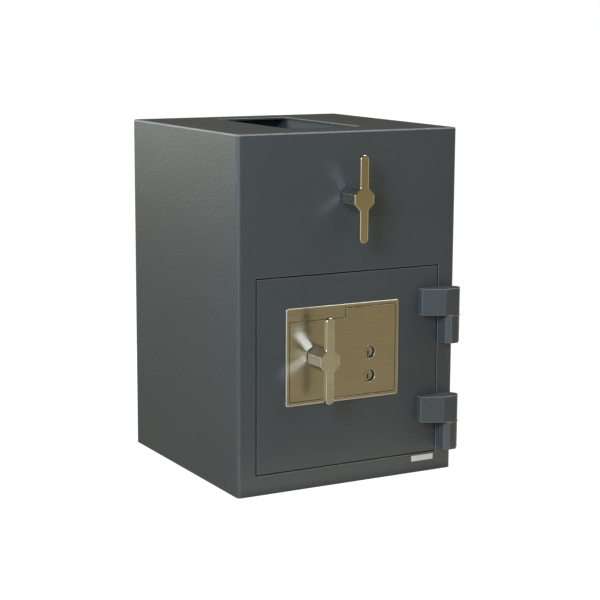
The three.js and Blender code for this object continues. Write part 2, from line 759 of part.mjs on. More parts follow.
// Boltwork. The crank swings equally to both sides of upright, so its radius follows from the throw.
const CRANK_RADIUS = BOLT_THROW / 2 / Math.sin(CRANK_TURN / 2);
const CRANK_FRONT = DOOR_BACK + LIP_GAP;
const CRANK_BACK = CRANK_FRONT + CRANK_PLATE;
const CARRIAGE_FRONT = CRANK_BACK + BOLT_CLEARANCE;
const CARRIAGE_BACK = CARRIAGE_FRONT + CARRIAGE_PLATE;
const BOLT_Y = LIP_BACK + BOLT_CLEARANCE + BOLT_DIAMETER / 2;
const BOLT_TIP = -DOOR_HALF + BOLT_TIP_BEHIND_EDGE;
const GUIDE_LEFT = BOLT_TIP + GUIDE_TIP_GAP;
const GUIDE_RIGHT = GUIDE_LEFT + GUIDE_WIDTH;
const CARRIAGE_LEFT = GUIDE_RIGHT + GUIDE_FLANGE_GAP + BOLT_THROW;
const BOLT_SPREAD = DOOR_HALF_HEIGHT - BOLT_END_MARGIN - HANDLE_Z;
const BOLT_HEIGHTS = [HANDLE_Z + BOLT_SPREAD, HANDLE_Z - BOLT_SPREAD];
const STUD_X = HANDLE_X - STUD_OFFSET;

// Crank about the spindle's axis, with its pin where it stands at rest.
function crank() {
  const rest = Math.PI / 2 - CRANK_TURN / 2;
  const pinX = CRANK_RADIUS * Math.cos(rest);
  const pinZ = CRANK_RADIUS * Math.sin(rest);
  const flank = Math.acos((CRANK_HUB_RADIUS - CRANK_EYE_RADIUS) / CRANK_RADIUS);
  const web = outline([
    ...arc(pinX, pinZ, CRANK_EYE_RADIUS, rest - flank, rest + flank, CORNER_STEPS),
    ...arc(0, 0, CRANK_HUB_RADIUS, rest + flank, rest + 2 * Math.PI - flank, 2 * CORNER_STEPS),
  ]);
  const bore = rodY(DOOR_SPINDLE + 2 * FIT, CRANK_FRONT - OVERCUT, CRANK_BACK + OVERCUT);
  const pin = rodY(CRANK_PIN, CRANK_BACK - OVERCUT, CARRIAGE_BACK + CRANK_PIN_PROUD, pinX, pinZ);
  return cut(join(carriedBack(web, CRANK_FRONT, CRANK_BACK), pin), bore);
}

// Carriage: a plate with the crank slot, two guide slots and an arm whose lug the lock bolt blocks, and a
// flange along its left edge that carries the locking bolts.
function carriage() {
  const right = HANDLE_X + CARRIAGE_RIGHT;
  const half = BOLT_SPREAD + CARRIAGE_MARGIN;
  const armBottom = LOCK_BOLT_TOP + LOCK_BOLT_TRAVEL + CARRIAGE_LUG_GAP;
  const armTop = armBottom + CARRIAGE_ARM;
  const lugGap = (BOLT_THROW - CARRIAGE_LUG - LOCK_BOLT_WIDTH) / 2;
  const lugLeft = KEY_X + LOCK_BOLT_WIDTH / 2 + lugGap;
  const lugRight = lugLeft + CARRIAGE_LUG;
  const plate = carriedBack(
    outline([
      [CARRIAGE_LEFT, HANDLE_Z - half],
      [right - CARRIAGE_NECK, HANDLE_Z - half],
      [right, HANDLE_Z - CARRIAGE_SHOULDER],
      [right, armBottom],
      [lugLeft, armBottom],
      [lugLeft, LOCK_TOP + CARRIAGE_LUG_GAP],
      [lugRight, LOCK_TOP + CARRIAGE_LUG_GAP],
      [lugRight, armTop],
      [right, armTop],
      [right - CARRIAGE_NECK, HANDLE_Z + half],
      [CARRIAGE_LEFT, HANDLE_Z + half],
    ]),
    CARRIAGE_FRONT,
    CARRIAGE_BACK,
  );
  const flange = block(
    [CARRIAGE_LEFT, CARRIAGE_FRONT, HANDLE_Z - half],
    [CARRIAGE_LEFT + CARRIAGE_PLATE, BOLT_Y + BOLT_DIAMETER / 2, HANDLE_Z + half],
  );
  const from = CARRIAGE_FRONT - OVERCUT;
  const to = CARRIAGE_BACK + OVERCUT;
  const pinX = HANDLE_X + BOLT_THROW / 2;
  const crankSlot = slot(
    [pinX, HANDLE_Z + CRANK_RADIUS * Math.cos(CRANK_TURN / 2)],
    [pinX, HANDLE_Z + CRANK_RADIUS],
    CRANK_PIN + 2 * CRANK_SLOT_CLEARANCE,
  );
  const guideSlots = [-1, 1].map((side) => {
    const z = HANDLE_Z + (side * STUD_SPACING) / 2;
    const ends = [
      [STUD_X, z],
      [STUD_X + BOLT_THROW, z],
    ];
    return carriedBack(slot(...ends, STUD_DIAMETER + 2 * STUD_CLEARANCE), from, to);
  });
  return cut(join(plate, flange), carriedBack(crankSlot, from, to), ...guideSlots);
}

// Locking bolt: a round bar with a chamfered tip, held to the carriage flange by one screw.
function lockingBolt(z) {
  const radius = BOLT_DIAMETER / 2;
  const bar = new THREE.LatheGeometry(
    [
      new THREE.Vector2(0, BOLT_TIP),
      new THREE.Vector2(radius - BOLT_CHAMFER, BOLT_TIP),
      new THREE.Vector2(radius, BOLT_TIP + BOLT_CHAMFER),
      new THREE.Vector2(radius, CARRIAGE_LEFT),
      new THREE.Vector2(0, CARRIAGE_LEFT),
    ],
    ROUND_STEPS,
  );
  return bar.rotateZ(-Math.PI / 2).translate(0, BOLT_Y, z);
}

function boltScrew(z) {
  const head = CARRIAGE_LEFT + CARRIAGE_PLATE;
  return rodX(BOLT_SCREW_HEAD, head, head + BOLT_SCREW_HEIGHT, BOLT_Y, z, SMALL_ROUND_STEPS);
}

function boltGuide(z) {
  const half = BOLT_DIAMETER / 2 + GUIDE_WALL;
  const body = block(
    [GUIDE_LEFT, DOOR_BACK, z - half],
    [GUIDE_RIGHT, BOLT_Y + BOLT_DIAMETER / 2 + GUIDE_BACK_WALL, z + half],
  );
  const bore = rodX(BOLT_DIAMETER + 2 * FIT, GUIDE_LEFT - OVERCUT, GUIDE_RIGHT + OVERCUT, BOLT_Y, z);
  return cut(body, bore);
}

// Shouldered stud: its shank stands in a guide slot and its head holds the carriage to the door.
function carriageStud(z) {
  const head = CARRIAGE_BACK + BOLT_CLEARANCE;
  return join(
    rodY(STUD_DIAMETER, DOOR_BACK, head + OVERCUT, STUD_X, z, SMALL_ROUND_STEPS),
    rodY(STUD_HEAD, head, head + STUD_HEAD_HEIGHT, STUD_X, z, SMALL_ROUND_STEPS),
  );
}

// Dead bar: fixed to the door beside the hinges, with a hook that reaches behind the frame.
function deadBar() {
  const hookTip = OPENING_HALF + DEAD_BAR_HOOK;
  const hookFront = LIP_FRONT + DEAD_BAR_GAP;
  const edge = DOOR_HALF - OVERCUT;
  const plan = outline([
    [hookTip - DEAD_BAR_WIDTH, DOOR_BACK],
    [edge, DOOR_BACK],
    [edge, hookFront],
    [hookTip, hookFront],
    [hookTip, hookFront + DEAD_BAR_THICKNESS],
    [hookTip - DEAD_BAR_WIDTH, hookFront + DEAD_BAR_THICKNESS],
  ]);
  const half = DOOR_HALF_HEIGHT - DEAD_BAR_END_MARGIN;
  return raised(plan, -half, half);
}

// Boltwork cover: a folded pan over the carriage and the lock, open towards the door.
function boltworkCover() {
  const left = GUIDE_LEFT - COVER_SIDE_GAP - COVER_SHEET;
  const right = KEY_X + LOCK_WIDTH / 2 + COVER_RIGHT_MARGIN;
  const half = BOLT_SPREAD + CARRIAGE_MARGIN + COVER_END_GAP;
  const back = DOOR_BACK + COVER_DEPTH;
  const outer = block([left, DOOR_BACK, HANDLE_Z - half], [right, back, HANDLE_Z + half]);
  const inner = block(
    [left + COVER_SHEET, DOOR_BACK - OVERCUT, HANDLE_Z - half + COVER_SHEET],
    [right - COVER_SHEET, back - COVER_SHEET, HANDLE_Z + half - COVER_SHEET],
  );
  const holes = BOLT_HEIGHTS.map((z) =>
    rodX(BOLT_DIAMETER + 2 * BOLT_CLEARANCE, left - OVERCUT, left + COVER_SHEET + OVERCUT, BOLT_Y, z),
  );
  return cut(outer, inner, ...holes);
}

// Rotary hopper. The drum turns about the spindle's axis, so its pieces are made about that axis.
const DRUM_FRONT = MOUTH_FRONT - DRUM_END_MARGIN;
const DRUM_BACK = MOUTH_BACK + DRUM_END_MARGIN;
const DISC_FRONT = DRUM_FRONT - DRUM_DISC;
const DISC_BACK = DRUM_BACK + DRUM_DISC;
const HANGER_FRONT_BACK = DISC_FRONT - HANGER_FRONT_GAP;
const HANGER_REAR_FRONT = DISC_BACK + HANGER_REAR_GAP;
const HOPPER_BUSH_OUTER = HOPPER_SPINDLE + 2 * (FIT + HOPPER_BUSH_WALL);
const SKIN_EDGE_ANGLE = Math.asin(MOUTH_WIDTH / 2 / DRUM_RADIUS);

function drumDisc(y0, y1) {
  return rodY(2 * DRUM_RADIUS, y0, y1, 0, 0, DRUM_STEPS);
}

// Skin: the round wall that closes the mouth while the drum turns. It leaves the pocket open.
function drumSkin() {
  const top = Math.PI / 2;
  const line = arc(
    0,
    0,
    DRUM_RADIUS,
    top + SKIN_EDGE_ANGLE,
    top + 2 * Math.PI - SKIN_EDGE_ANGLE,
    Math.round(DRUM_STEPS * (1 - SKIN_EDGE_ANGLE / Math.PI)),
  );
  return carriedBack(sheet(line, DRUM_SHEET), DRUM_FRONT, DRUM_BACK);
}

// Pan: two flat sides at right angles, from the skin's edges to a round floor just above the axis.
function drumPan() {
  const inner = DRUM_RADIUS - DRUM_SHEET;
  const foot = inner * (Math.cos(SKIN_EDGE_ANGLE) - Math.sin(SKIN_EDGE_ANGLE));
  const edgeRadius = inner - 2 * FIT;
  const reach = (-foot + Math.sqrt(2 * edgeRadius * edgeRadius - foot * foot)) / 2;
  const line = rounded(
    [
      [-reach, foot + reach],
      [0, foot],
      [reach, foot + reach],
    ],
    PAN_FLOOR_RADIUS,
    CORNER_STEPS,
  );
  return carriedBack(sheet(line, -DRUM_SHEET), DRUM_FRONT, DRUM_BACK);
}

function hopperSpindle() {
  return rodY(HOPPER_SPINDLE, spindleFront(FRONT), DISC_FRONT);
}

function rearStub() {
  return rodY(HOPPER_SPINDLE, DISC_BACK, DISC_BACK + REAR_STUB_LENGTH);
}

// The drum's lug meets one stud at rest and the other after half a turn.
function stopLug() {
  return rodY(STOP_DIAMETER, DISC_FRONT - STOP_LENGTH, DISC_FRONT, STOP_RADIUS, 0, SMALL_ROUND_STEPS);
}

function stopStud(side) {
  const apart = 2 * Math.asin((STOP_DIAMETER + STOP_GAP) / 2 / STOP_RADIUS);
  const x = side * STOP_RADIUS * Math.cos(apart);
  const z = HOPPER_Z + STOP_RADIUS * Math.sin(apart);
  const front = HANGER_FRONT_BACK;
  return rodY(STOP_DIAMETER, front, front + STOP_LENGTH, x, z, SMALL_ROUND_STEPS);
}

// Hanger plate: hangs from the top plate at one end of the drum, cut narrower towards its foot.
function hangerPlate(y0, y1, hole) {
  const half = HANGER_WIDTH / 2;
  const foot = HOPPER_Z - DRUM_RADIUS - HANGER_DROP;
  const shape = outline([
    [-half + HANGER_CORNER, foot],
    [half - HANGER_CORNER, foot],
    [half, foot + HANGER_CORNER],
    [half, INNER_TOP],
    [-half, INNER_TOP],
    [-half, foot + HANGER_CORNER],
  ]);
  return cut(carriedBack(shape, y0, y1), rodY(hole, y0 - OVERCUT, y1 + OVERCUT, 0, HOPPER_Z));
}

// Guard: from a flange under the top plate, a chute lip slopes in at 45 degrees from the mouth's edge to the drum's
// clearance circle. There the sheet folds back and goes round the drum.
function guard(side) {
  const lip = MOUTH_WIDTH / 2 + GUARD_SETBACK;
  const radius = DRUM_RADIUS + GUARD_CLEARANCE;
  const rise = INNER_TOP - HOPPER_Z;
  const chuteRun = (lip + rise - Math.sqrt(2 * radius ** 2 - (lip - rise) ** 2)) / 2;
  const startAngle = Math.atan2(lip - chuteRun, rise - chuteRun);
  const line = [
    [lip + GUARD_FLANGE, INNER_TOP],
    [lip, INNER_TOP],
    ...arc(0, HOPPER_Z, radius, Math.PI / 2 - startAngle, Math.PI / 2 - GUARD_END_ANGLE, GUARD_STEPS),
  ].map(([x, z]) => [side * x, z]);
  const section = sheet(line, side * GUARD_SHEET);
  return carriedBack(section, HANGER_FRONT_BACK, HANGER_REAR_FRONT);
}

// Front bush: its flange bears on the back of the front sheet.
function hopperFrontBush() {
  const inner = HOPPER_SPINDLE / 2 + FIT;
  const outer = HOPPER_BUSH_OUTER / 2;
  return turned([
    [inner, FRONT + FIT],
    [outer, FRONT + FIT],
    [outer, INNER_FRONT],
    [outer + BUSH_FLANGE, INNER_FRONT],
    [outer + BUSH_FLANGE, INNER_FRONT + BUSH_FLANGE_THICKNESS],
    [outer, INNER_FRONT + BUSH_FLANGE_THICKNESS],
    [outer, FRONT + BUSH_LENGTH],
    [inner, FRONT + BUSH_LENGTH],
  ]);
}

function hopperRearBush() {
  const inner = HOPPER_SPINDLE / 2 + FIT;
  const outer = HOPPER_BUSH_OUTER / 2;
  const plateBack = HANGER_REAR_FRONT + HANGER_PLATE;
  return turned([
    [inner, HANGER_REAR_FRONT],
    [outer, HANGER_REAR_FRONT],
    [outer, plateBack],
    [outer + BUSH_FLANGE, plateBack],
    [outer + BUSH_FLANGE, plateBack + BUSH_FLANGE_THICKNESS],
    [inner, plateBack + BUSH_FLANGE_THICKNESS],
  ]);
}

// The assembly: the body stands in the part's frame, and what moves is grouped about its own place.
const safe = new THREE.Group();

safe.add(
  piece("body_wrap", bodyWrap(), PAINT),
  piece("top_plate", topPlate(), PAINT),
  piece("bottom_plate", bottomPlate(), PAINT),
  piece("back_plate", backPlate(), PAINT),
  piece("door_frame", doorFrame(), PAINT),
  piece("label_plate", labelPlate(), ALUMINIUM),
  piece(
    "hopper_front_hanger",
    hangerPlate(
      HANGER_FRONT_BACK - HANGER_PLATE,
      HANGER_FRONT_BACK,
      HOPPER_SPINDLE + 2 * (FIT + RECESS_CLEARANCE),
    ),
    INNER_PAINT,
  ),
  piece(
    "hopper_rear_hanger",
    hangerPlate(HANGER_REAR_FRONT, HANGER_REAR_FRONT + HANGER_PLATE, HOPPER_BUSH_OUTER + 2 * FIT),
    INNER_PAINT,
  ),
  piece("hopper_guard_left", guard(-1), INNER_PAINT),
  piece("hopper_guard_right", guard(1), INNER_PAINT),
  piece("hopper_stop_rest", stopStud(1), ZINC_STEEL),
  piece("hopper_stop_dump", stopStud(-1), ZINC_STEEL),
);

const hopperFixed = new THREE.Group();
hopperFixed.position.z = HOPPER_Z;
hopperFixed.add(
  piece("hopper_front_bush", hopperFrontBush(), BRONZE),
  piece("hopper_rear_bush", hopperRearBush(), BRONZE),
  piece("hopper_handle_washer", handleWasher(FRONT, HOPPER_SPINDLE), NYLON),
);
safe.add(hopperFixed);

const hopper = new THREE.Group();
hopper.position.z = HOPPER_Z;
hopper.add(
  piece("drum_front_disc", drumDisc(DISC_FRONT, DRUM_FRONT), INNER_PAINT),
  piece("drum_rear_disc", drumDisc(DRUM_BACK, DISC_BACK), INNER_PAINT),
  piece("drum_skin", drumSkin(), PAINT),
  piece("drum_pan", drumPan(), PAINT),
  piece("hopper_spindle", hopperSpindle(), ZINC_STEEL),
  piece("hopper_rear_stub", rearStub(), ZINC_STEEL),
  piece("drum_stop_lug", stopLug(), ZINC_STEEL),
  piece("hopper_handle", handle(FRONT, HOPPER_SPINDLE), NICKEL),
);
safe.add(hopper);

const door = new THREE.Group();
door.position.z = DOOR_Z;
safe.add(door);
door.add(
  piece("door_plate", doorPlate(), PAINT),
  piece("face_plate", facePlate(), NICKEL),
  piece("hard_plate", hardPlate(), ZINC_STEEL),
  piece("lock_case", lockCase(), ZINC_STEEL),
  piece("lock_bolt", lockBolt(), BRONZE),
  piece("bolt_carriage", carriage(), ZINC_STEEL),
  piece("dead_bar", deadBar(), ZINC_STEEL),
  piece("boltwork_cover", boltworkCover(), INNER_PAINT),
);
["upper", "lower"].forEach((name, i) => {
  const side = 1 - 2 * i;
  door.add(
    piece("locking_bolt_" + name, lockingBolt(BOLT_HEIGHTS[i]), BRIGHT_STEEL),
    piece("bolt_screw_" + name, boltScrew(BOLT_HEIGHTS[i]), ZINC_STEEL),
    piece("bolt_guide_" + name, boltGuide(BOLT_HEIGHTS[i]), ZINC_STEEL),
    piece("carriage_stud_" + name, carriageStud(HANDLE_Z + (side * STUD_SPACING) / 2), ZINC_STEEL),
  );
  const leafBottom = (side * HINGE_SPACING) / 2 - HINGE_DROP;
  const washerBottom = leafBottom - RUN_GAP - HINGE_WASHER;
  door.add(
    piece("hinge_leaf_" + name, hingeLeaf(leafBottom), PAINT),
    piece("hinge_washer_" + name, hingeWasher(washerBottom), BRIGHT_STEEL),
    piece("hinge_knuckle_" + name, hingeKnuckle(washerBottom), PAINT),
    piece("hinge_pin_" + name, hingePin(washerBottom, leafBottom), BRIGHT_STEEL),
  );
  const plug = piece("key_plug_" + name, keyPlug(), NICKEL);
  plug.position.set(KEY_X, 0, i === 0 ? UPPER_KEY_Z : LOWER_KEY_Z);
  door.add(plug);
});

const doorHandle = new THREE.Group();
doorHandle.position.set(HANDLE_X, 0, HANDLE_Z);
doorHandle.add(
  piece("door_handle", handle(FACE_PLATE_FRONT, DOOR_SPINDLE), NICKEL),
  piece("door_handle_washer", handleWasher(FACE_PLATE_FRONT, DOOR_SPINDLE), NYLON),
  piece("door_spindle", rodY(DOOR_SPINDLE, spindleFront(FACE_PLATE_FRONT), CRANK_BACK), ZINC_STEEL),
  piece("door_spindle_bush", doorBush(), BRONZE),
  piece("spindle_crank", crank(), ZINC_STEEL),
);
door.add(doorHandle);

export default safe;
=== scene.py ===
import math

import bmesh
import bpy
import numpy as np
from mathutils import Matrix, Vector
from mathutils.geometry import tessellate_polygon


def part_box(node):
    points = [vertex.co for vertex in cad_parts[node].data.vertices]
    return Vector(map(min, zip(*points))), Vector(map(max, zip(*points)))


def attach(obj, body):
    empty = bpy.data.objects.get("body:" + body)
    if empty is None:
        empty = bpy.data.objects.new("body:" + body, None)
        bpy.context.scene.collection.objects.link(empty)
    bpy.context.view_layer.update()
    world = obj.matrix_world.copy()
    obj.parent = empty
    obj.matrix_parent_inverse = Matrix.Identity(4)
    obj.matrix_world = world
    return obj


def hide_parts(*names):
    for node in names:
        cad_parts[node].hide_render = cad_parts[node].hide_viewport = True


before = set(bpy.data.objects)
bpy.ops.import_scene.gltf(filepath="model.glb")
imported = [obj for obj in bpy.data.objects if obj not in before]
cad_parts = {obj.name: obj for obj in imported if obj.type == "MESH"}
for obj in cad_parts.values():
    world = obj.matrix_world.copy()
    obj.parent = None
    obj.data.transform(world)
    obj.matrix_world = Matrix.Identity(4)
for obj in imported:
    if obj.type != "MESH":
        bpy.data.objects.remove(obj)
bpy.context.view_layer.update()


# Body shell. One 3.2 mm steel sheet is bent into the front, both sides and two narrow rear flanges. The
# top plate is welded on and ground round, so one coat of textured paint runs over both. The door opening
# and the hopper's mouth are cut through it.
MM = 0.001               # sizes are in millimetres, unless a comment says otherwise
SAME_PLACE = 1e-6        # metres
CRISP = 40               # degrees
ROUND_PROFILE = 0.5      # Blender's number for a bevel that is an arc
ROUND_STEPS = 3
NARROW_EDGE = 0.75


def box_mm(node):
    """The node's lowest and highest corner in millimetres."""
    return [np.round(np.array(corner) / MM, 3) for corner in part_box(node)]


def add_piece(name, shells, ease=0, eased=None):
    """A piece from shells of (points, face blocks). Points that meet are joined, the edges that `eased`
    picks are rounded by `ease`, and turns of more than CRISP stay sharp."""
    points = np.concatenate([shell_points for shell_points, _ in shells])
    starts = np.cumsum([0] + [len(shell_points) for shell_points, _ in shells])
    faces = []
    for start, (_, blocks) in zip(starts, shells):
        for block in blocks:
            faces.extend((block + start).tolist())
    mesh = bpy.data.meshes.new(name)
    mesh.from_pydata(points * MM, [], faces)
    joined = bmesh.new()
    joined.from_mesh(mesh)
    bmesh.ops.remove_doubles(joined, verts=joined.verts, dist=SAME_PLACE)
    if ease:
        bmesh.ops.bevel(
            joined,
            geom=[edge for edge in joined.edges if eased(edge)],
            offset=ease * MM,
            segments=ROUND_STEPS,
            profile=ROUND_PROFILE,
            affect="EDGES",
            clamp_overlap=True,
        )
    joined.to_mesh(mesh)
    joined.free()
    mesh.shade_smooth()
    mesh.set_sharp_from_angle(angle=math.radians(CRISP))
    made = bpy.data.objects.new(name, mesh)
    bpy.context.scene.collection.objects.link(made)
    made.modifiers.new("flat_faces", "WEIGHTED_NORMAL").keep_sharp = True
    return made


def four_sided(mesh):
    """The numbers of the mesh's four-sided faces, and their corners' places as (face, corner, 3)."""
    count = len(mesh.polygons)
    total = np.zeros(count, np.int32)
    first = np.zeros(count, np.int32)
    corner = np.zeros(len(mesh.loops), np.int32)
    place = np.zeros(3 * len(mesh.vertices), np.float32)
    mesh.polygons.foreach_get("loop_total", total)
    mesh.polygons.foreach_get("loop_start", first)
    mesh.loops.foreach_get("vertex_index", corner)
    mesh.vertices.foreach_get("co", place)
    four = np.flatnonzero(total == 4)
    return four, place.reshape(-1, 3)[corner[first[four][:, None] + np.arange(4)]]


def mark_faces(made, mark, faces, shares):
    """Give each of the piece's faces a share from 0 to 1 of a mark that its finish reads."""
    values = np.zeros(len(made.data.polygons), np.float32)
    values[faces] = shares
    made.data.attributes.new(mark, "FLOAT", "FACE").data.foreach_set("value", values)


def wear_and_highlight_edges(made, share):
    """Mark the piece's rounded edges, its four-sided faces narrower than NARROW_EDGE, to be painted paler,
    partly as wear and partly as a painted highlight. The share from 0 to 1 is a number, or a function of
    the faces' middles in metres."""
    four, ring = four_sided(made.data)
    narrow = np.linalg.norm(ring - np.roll(ring, 1, axis=1), axis=2).min(axis=1) < NARROW_EDGE * MM
    mark_faces(made, "wear_and_highlight", four, narrow * (share(ring.mean(axis=1)) if callable(share) else share))


def shade_gap(made, share):
    """Mark the four-sided faces in narrow gaps for painted shade: their colour is darkened where shade
    falls in the gap. Each takes the lowest share that the function gives its corners, from their places
    in millimetres."""
    four, ring = four_sided(made.data)
    mark_faces(made, "gap_shade", four, share(ring / MM).min(axis=1))


def dress(made, finish, slot, body, *nodes):
    """Give a piece its finish, hang it on its body, and let it stand for its nodes. The slot is not used.
    """
    made.data.materials.append(finish.material)
    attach(made, body)
    if nodes:
        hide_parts(*nodes)


def quarter_rim(ease, steps):
    """(inset, rise) along a quarter round: ease * (1 - sin t) inwards and ease * (1 - cos t) up, for t
    from 0 to 90 degrees."""
    t = np.linspace(0, math.pi / 2, steps + 1)
    return np.stack([ease * (1 - np.sin(t)), ease * (1 - np.cos(t))], axis=1)


def moved_in(outline, amount):
    """The outline with each point moved inwards along the bisector of its two sides, by amount over the
    cosine of half the turn. An outline that runs clockwise, as a hole's does, grows."""
    along = np.roll(outline, -1, axis=0) - outline
    along /= np.linalg.norm(along, axis=1, keepdims=True)
    after = np.stack([-along[:, 1], along[:, 0]], axis=1)
    bisector = after + np.roll(after, 1, axis=0)
    return outline + amount * 2 * bisector / np.sum(bisector**2, axis=1, keepdims=True)


def round_corners(corners, radius, steps=6):
    """Each corner becomes an arc that touches both sides: it starts radius * tan(turn / 2) before the
    corner, and its points are centre + radius * (cos, sin) of even angles. Gives (corner, step, 2)."""
    corners = np.array(corners, float)
    radius = np.broadcast_to(np.asarray(radius, float), len(corners))
    arriving = corners - np.roll(corners, 1, axis=0)
    arriving /= np.linalg.norm(arriving, axis=1, keepdims=True)
    leaving = np.roll(arriving, -1, axis=0)
    turn = np.arctan2(
        arriving[:, 0] * leaving[:, 1] - arriving[:, 1] * leaving[:, 0],
        np.sum(arriving * leaving, axis=1),
    )
    start = corners - arriving * (radius * np.tan(abs(turn) / 2))[:, None]
    inwards = np.stack([-arriving[:, 1], arriving[:, 0]], axis=1) * np.sign(turn)[:, None]
    centre = start + inwards * radius[:, None]
    first = np.arctan2(*(start - centre).T[::-1])
    angle = first[:, None] + turn[:, None] * np.linspace(0, 1, steps + 1)
    ring = np.stack([np.cos(angle), np.sin(angle)], axis=-1)
    return centre[:, None] + radius[:, None, None] * ring


def rectangle(x0, y0, x1, y1, radius, steps=6):
    """Outline of a rectangle with rounded corners, anticlockwise."""
    return round_corners([(x0, y0), (x1, y0), (x1, y1), (x0, y1)], radius, steps).reshape(-1, 2)


def at_height(outline, height):
    """The outline lifted to a height."""
    return np.column_stack([outline, np.full(len(outline), height)])


def cells(rows, columns):
    """Four-sided faces of a grid whose last column joins the first. Each goes round from (r, c) by
    (r, c+1) and (r+1, c+1) to (r+1, c)."""
    index = np.arange(rows * columns).reshape(rows, columns)
    beside = np.roll(index, -1, axis=1)
    return np.stack([index[:-1], beside[:-1], beside[1:], index[1:]], axis=-1).reshape(-1, 4)


def walls(rings):
    """The wall through a stack of closed rings, an array (row, column, 3)."""
    return rings.reshape(-1, 3), [cells(*rings.shape[:2])]


def wall_to_rim(outline, low, high, ease, steps=3):
    """Rings up a straight wall along the outline, with a quarter round at the high end."""
    rim = quarter_rim(ease, steps)[::-1]
    rings = [at_height(moved_in(outline, inset), high - rise) for inset, rise in rim]
    return np.stack([at_height(outline, low)] + rings)


def panel(loops, facing):
    """Flat face inside the first loop and outside the others, in triangles that face one way."""
    points = np.concatenate(loops)
    triangles = np.array(tessellate_polygon([[Vector(point) for point in loop] for loop in loops]))
    a, b, c = points[triangles].transpose(1, 0, 2)
    wrong = np.cross(b - a, c - a) @ np.array(facing, float) < 0
    triangles[wrong] = triangles[wrong][:, ::-1]
    return points, [triangles]


def two_skins(outer, inner, keep):
    """A sheet of two skins on one grid (row, column, 3). A cell is there where keep says so. Where a cell
    has no neighbour, a strip between the skins closes its edge."""
    rows, columns = outer.shape[:2]
    total = rows * columns
    quads = cells(rows, columns).reshape(rows - 1, columns, 4)
    none = np.zeros((1, columns), bool)
    neighbours = [
        np.vstack([none, keep[:-1]]),
        np.roll(keep, -1, axis=1),
        np.vstack([keep[1:], none]),
        np.roll(keep, 1, axis=1),
    ]
    blocks = [quads[keep], quads[keep][:, ::-1] + total]
    for side, neighbour in enumerate(neighbours):
        edge = quads[keep & ~neighbour]
        a, b = edge[:, side], edge[:, (side + 1) % 4]
        blocks.append(np.stack([b, a, a + total, b + total], axis=1))
    return np.concatenate([outer.reshape(-1, 3), inner.reshape(-1, 3)]), blocks


SHEET = 3.2
BEND_RADIUS = 5.5
BEND_STEPS = 8
TOP_ROUND = 2.2
TOP_ROUND_STEPS = 5
TOP_FLAT = 0.5
DOOR_GAP = 1.6
REAR_FLANGE = 20
MOUTH = (-60, -103, 60, 126)        # left, front, right and rear
MOUTH_CORNER = 1.5
EASE = 0.9
body_low, body_high = box_mm("body_wrap")
top_of_safe = box_mm("top_plate")[1][2]
door_low, door_high = box_mm("door_plate")
opening_x = door_high[0] + DOOR_GAP
opening_z = (door_low[2] - DOOR_GAP, door_high[2] + DOOR_GAP)
flange_x = body_high[0] - REAR_FLANGE

# The sheet's plan has a station more wherever a cut begins, so that the cuts follow the grid's own lines.
bend = BEND_STEPS + 1
plan = rectangle(*body_low[:2], *body_high[:2], BEND_RADIUS, BEND_STEPS)
front_stations = np.array([(-opening_x, body_low[1]), (opening_x, body_low[1])])
back_stations = np.array([(flange_x, body_high[1]), (-flange_x, body_high[1])])
plan = np.concatenate([plan[:bend], front_stations, plan[bend:3 * bend], back_stations, plan[3 * bend:]])
rim = quarter_rim(TOP_ROUND, TOP_ROUND_STEPS)[::-1]
rows = [(0, 0), (0, opening_z[0]), (0, opening_z[1]), (0, body_high[2])]
rows += [(inset, top_of_safe - rise) for inset, rise in rim]
rows += [(TOP_ROUND + TOP_FLAT, top_of_safe)]
outer_skin = np.stack([at_height(moved_in(plan, inset), z) for inset, z in rows])
inner_skin = np.stack([at_height(moved_in(plan, SHEET), min(z, body_high[2])) for _, z in rows])

# The door opening and the open back are the cells whose middles lie in them.
ON_FACE = 1
beside = np.roll(outer_skin, -1, axis=1)
x, y, z = np.moveaxis((outer_skin[:-1] + outer_skin[1:] + beside[:-1] + beside[1:]) / 4, -1, 0)
in_opening = (y < body_low[1] + ON_FACE) & (abs(x) < opening_x) & (z > opening_z[0]) & (z < opening_z[1])
at_back = (y > body_high[1] - ON_FACE) & (abs(x) < flange_x) & (z < body_high[2])
shell_points, shell_blocks = two_skins(outer_skin, inner_skin, ~(in_opening | at_back))

# The top's two panels close the last row, so the strip between the skins is left out there.
skin_size = len(outer_skin) * len(plan)
last_row = skin_size - len(plan)
shell_blocks = [block[~np.all(block % skin_size >= last_row, axis=1)] for block in shell_blocks]
mouth_rings = wall_to_rim(rectangle(*MOUTH, MOUTH_CORNER)[::-1], body_high[2], top_of_safe, EASE)
NEAR = 0.1
SHARP_TURN = 1                      # radians


def of_opening(edge):
    """Whether an edge bounds the door opening, on the outer face of the sheet."""
    ends = [corner.co / MM for corner in edge.verts]
    across = all(abs(end.x) < opening_x + NEAR for end in ends)
    in_height = all(opening_z[0] - NEAR < end.z < opening_z[1] + NEAR for end in ends)
    in_front = all(end.y < body_low[1] + NEAR for end in ends)
    return across and in_height and in_front and edge.calc_face_angle(0) > SHARP_TURN


body_shell = add_piece(
    "body_shell",
    [
        (shell_points, shell_blocks),
        panel([outer_skin[-1], mouth_rings[-1]], (0, 0, 1)),
        panel([inner_skin[-1], mouth_rings[0]], (0, 0, -1)),
        walls(mouth_rings),
    ],
    ease=EASE,
    eased=of_opening,
)
# The edges are painted paler, partly as wear and partly as a painted highlight, more at the top than low
# down.
TOP_WEAR_AND_HIGHLIGHT = 1.0
FRONT_WEAR_AND_HIGHLIGHT = 0.7
WEAR_AND_HIGHLIGHT_CHANGES = 0.4                  # metres up
MOUTH_SHADE = 0.35


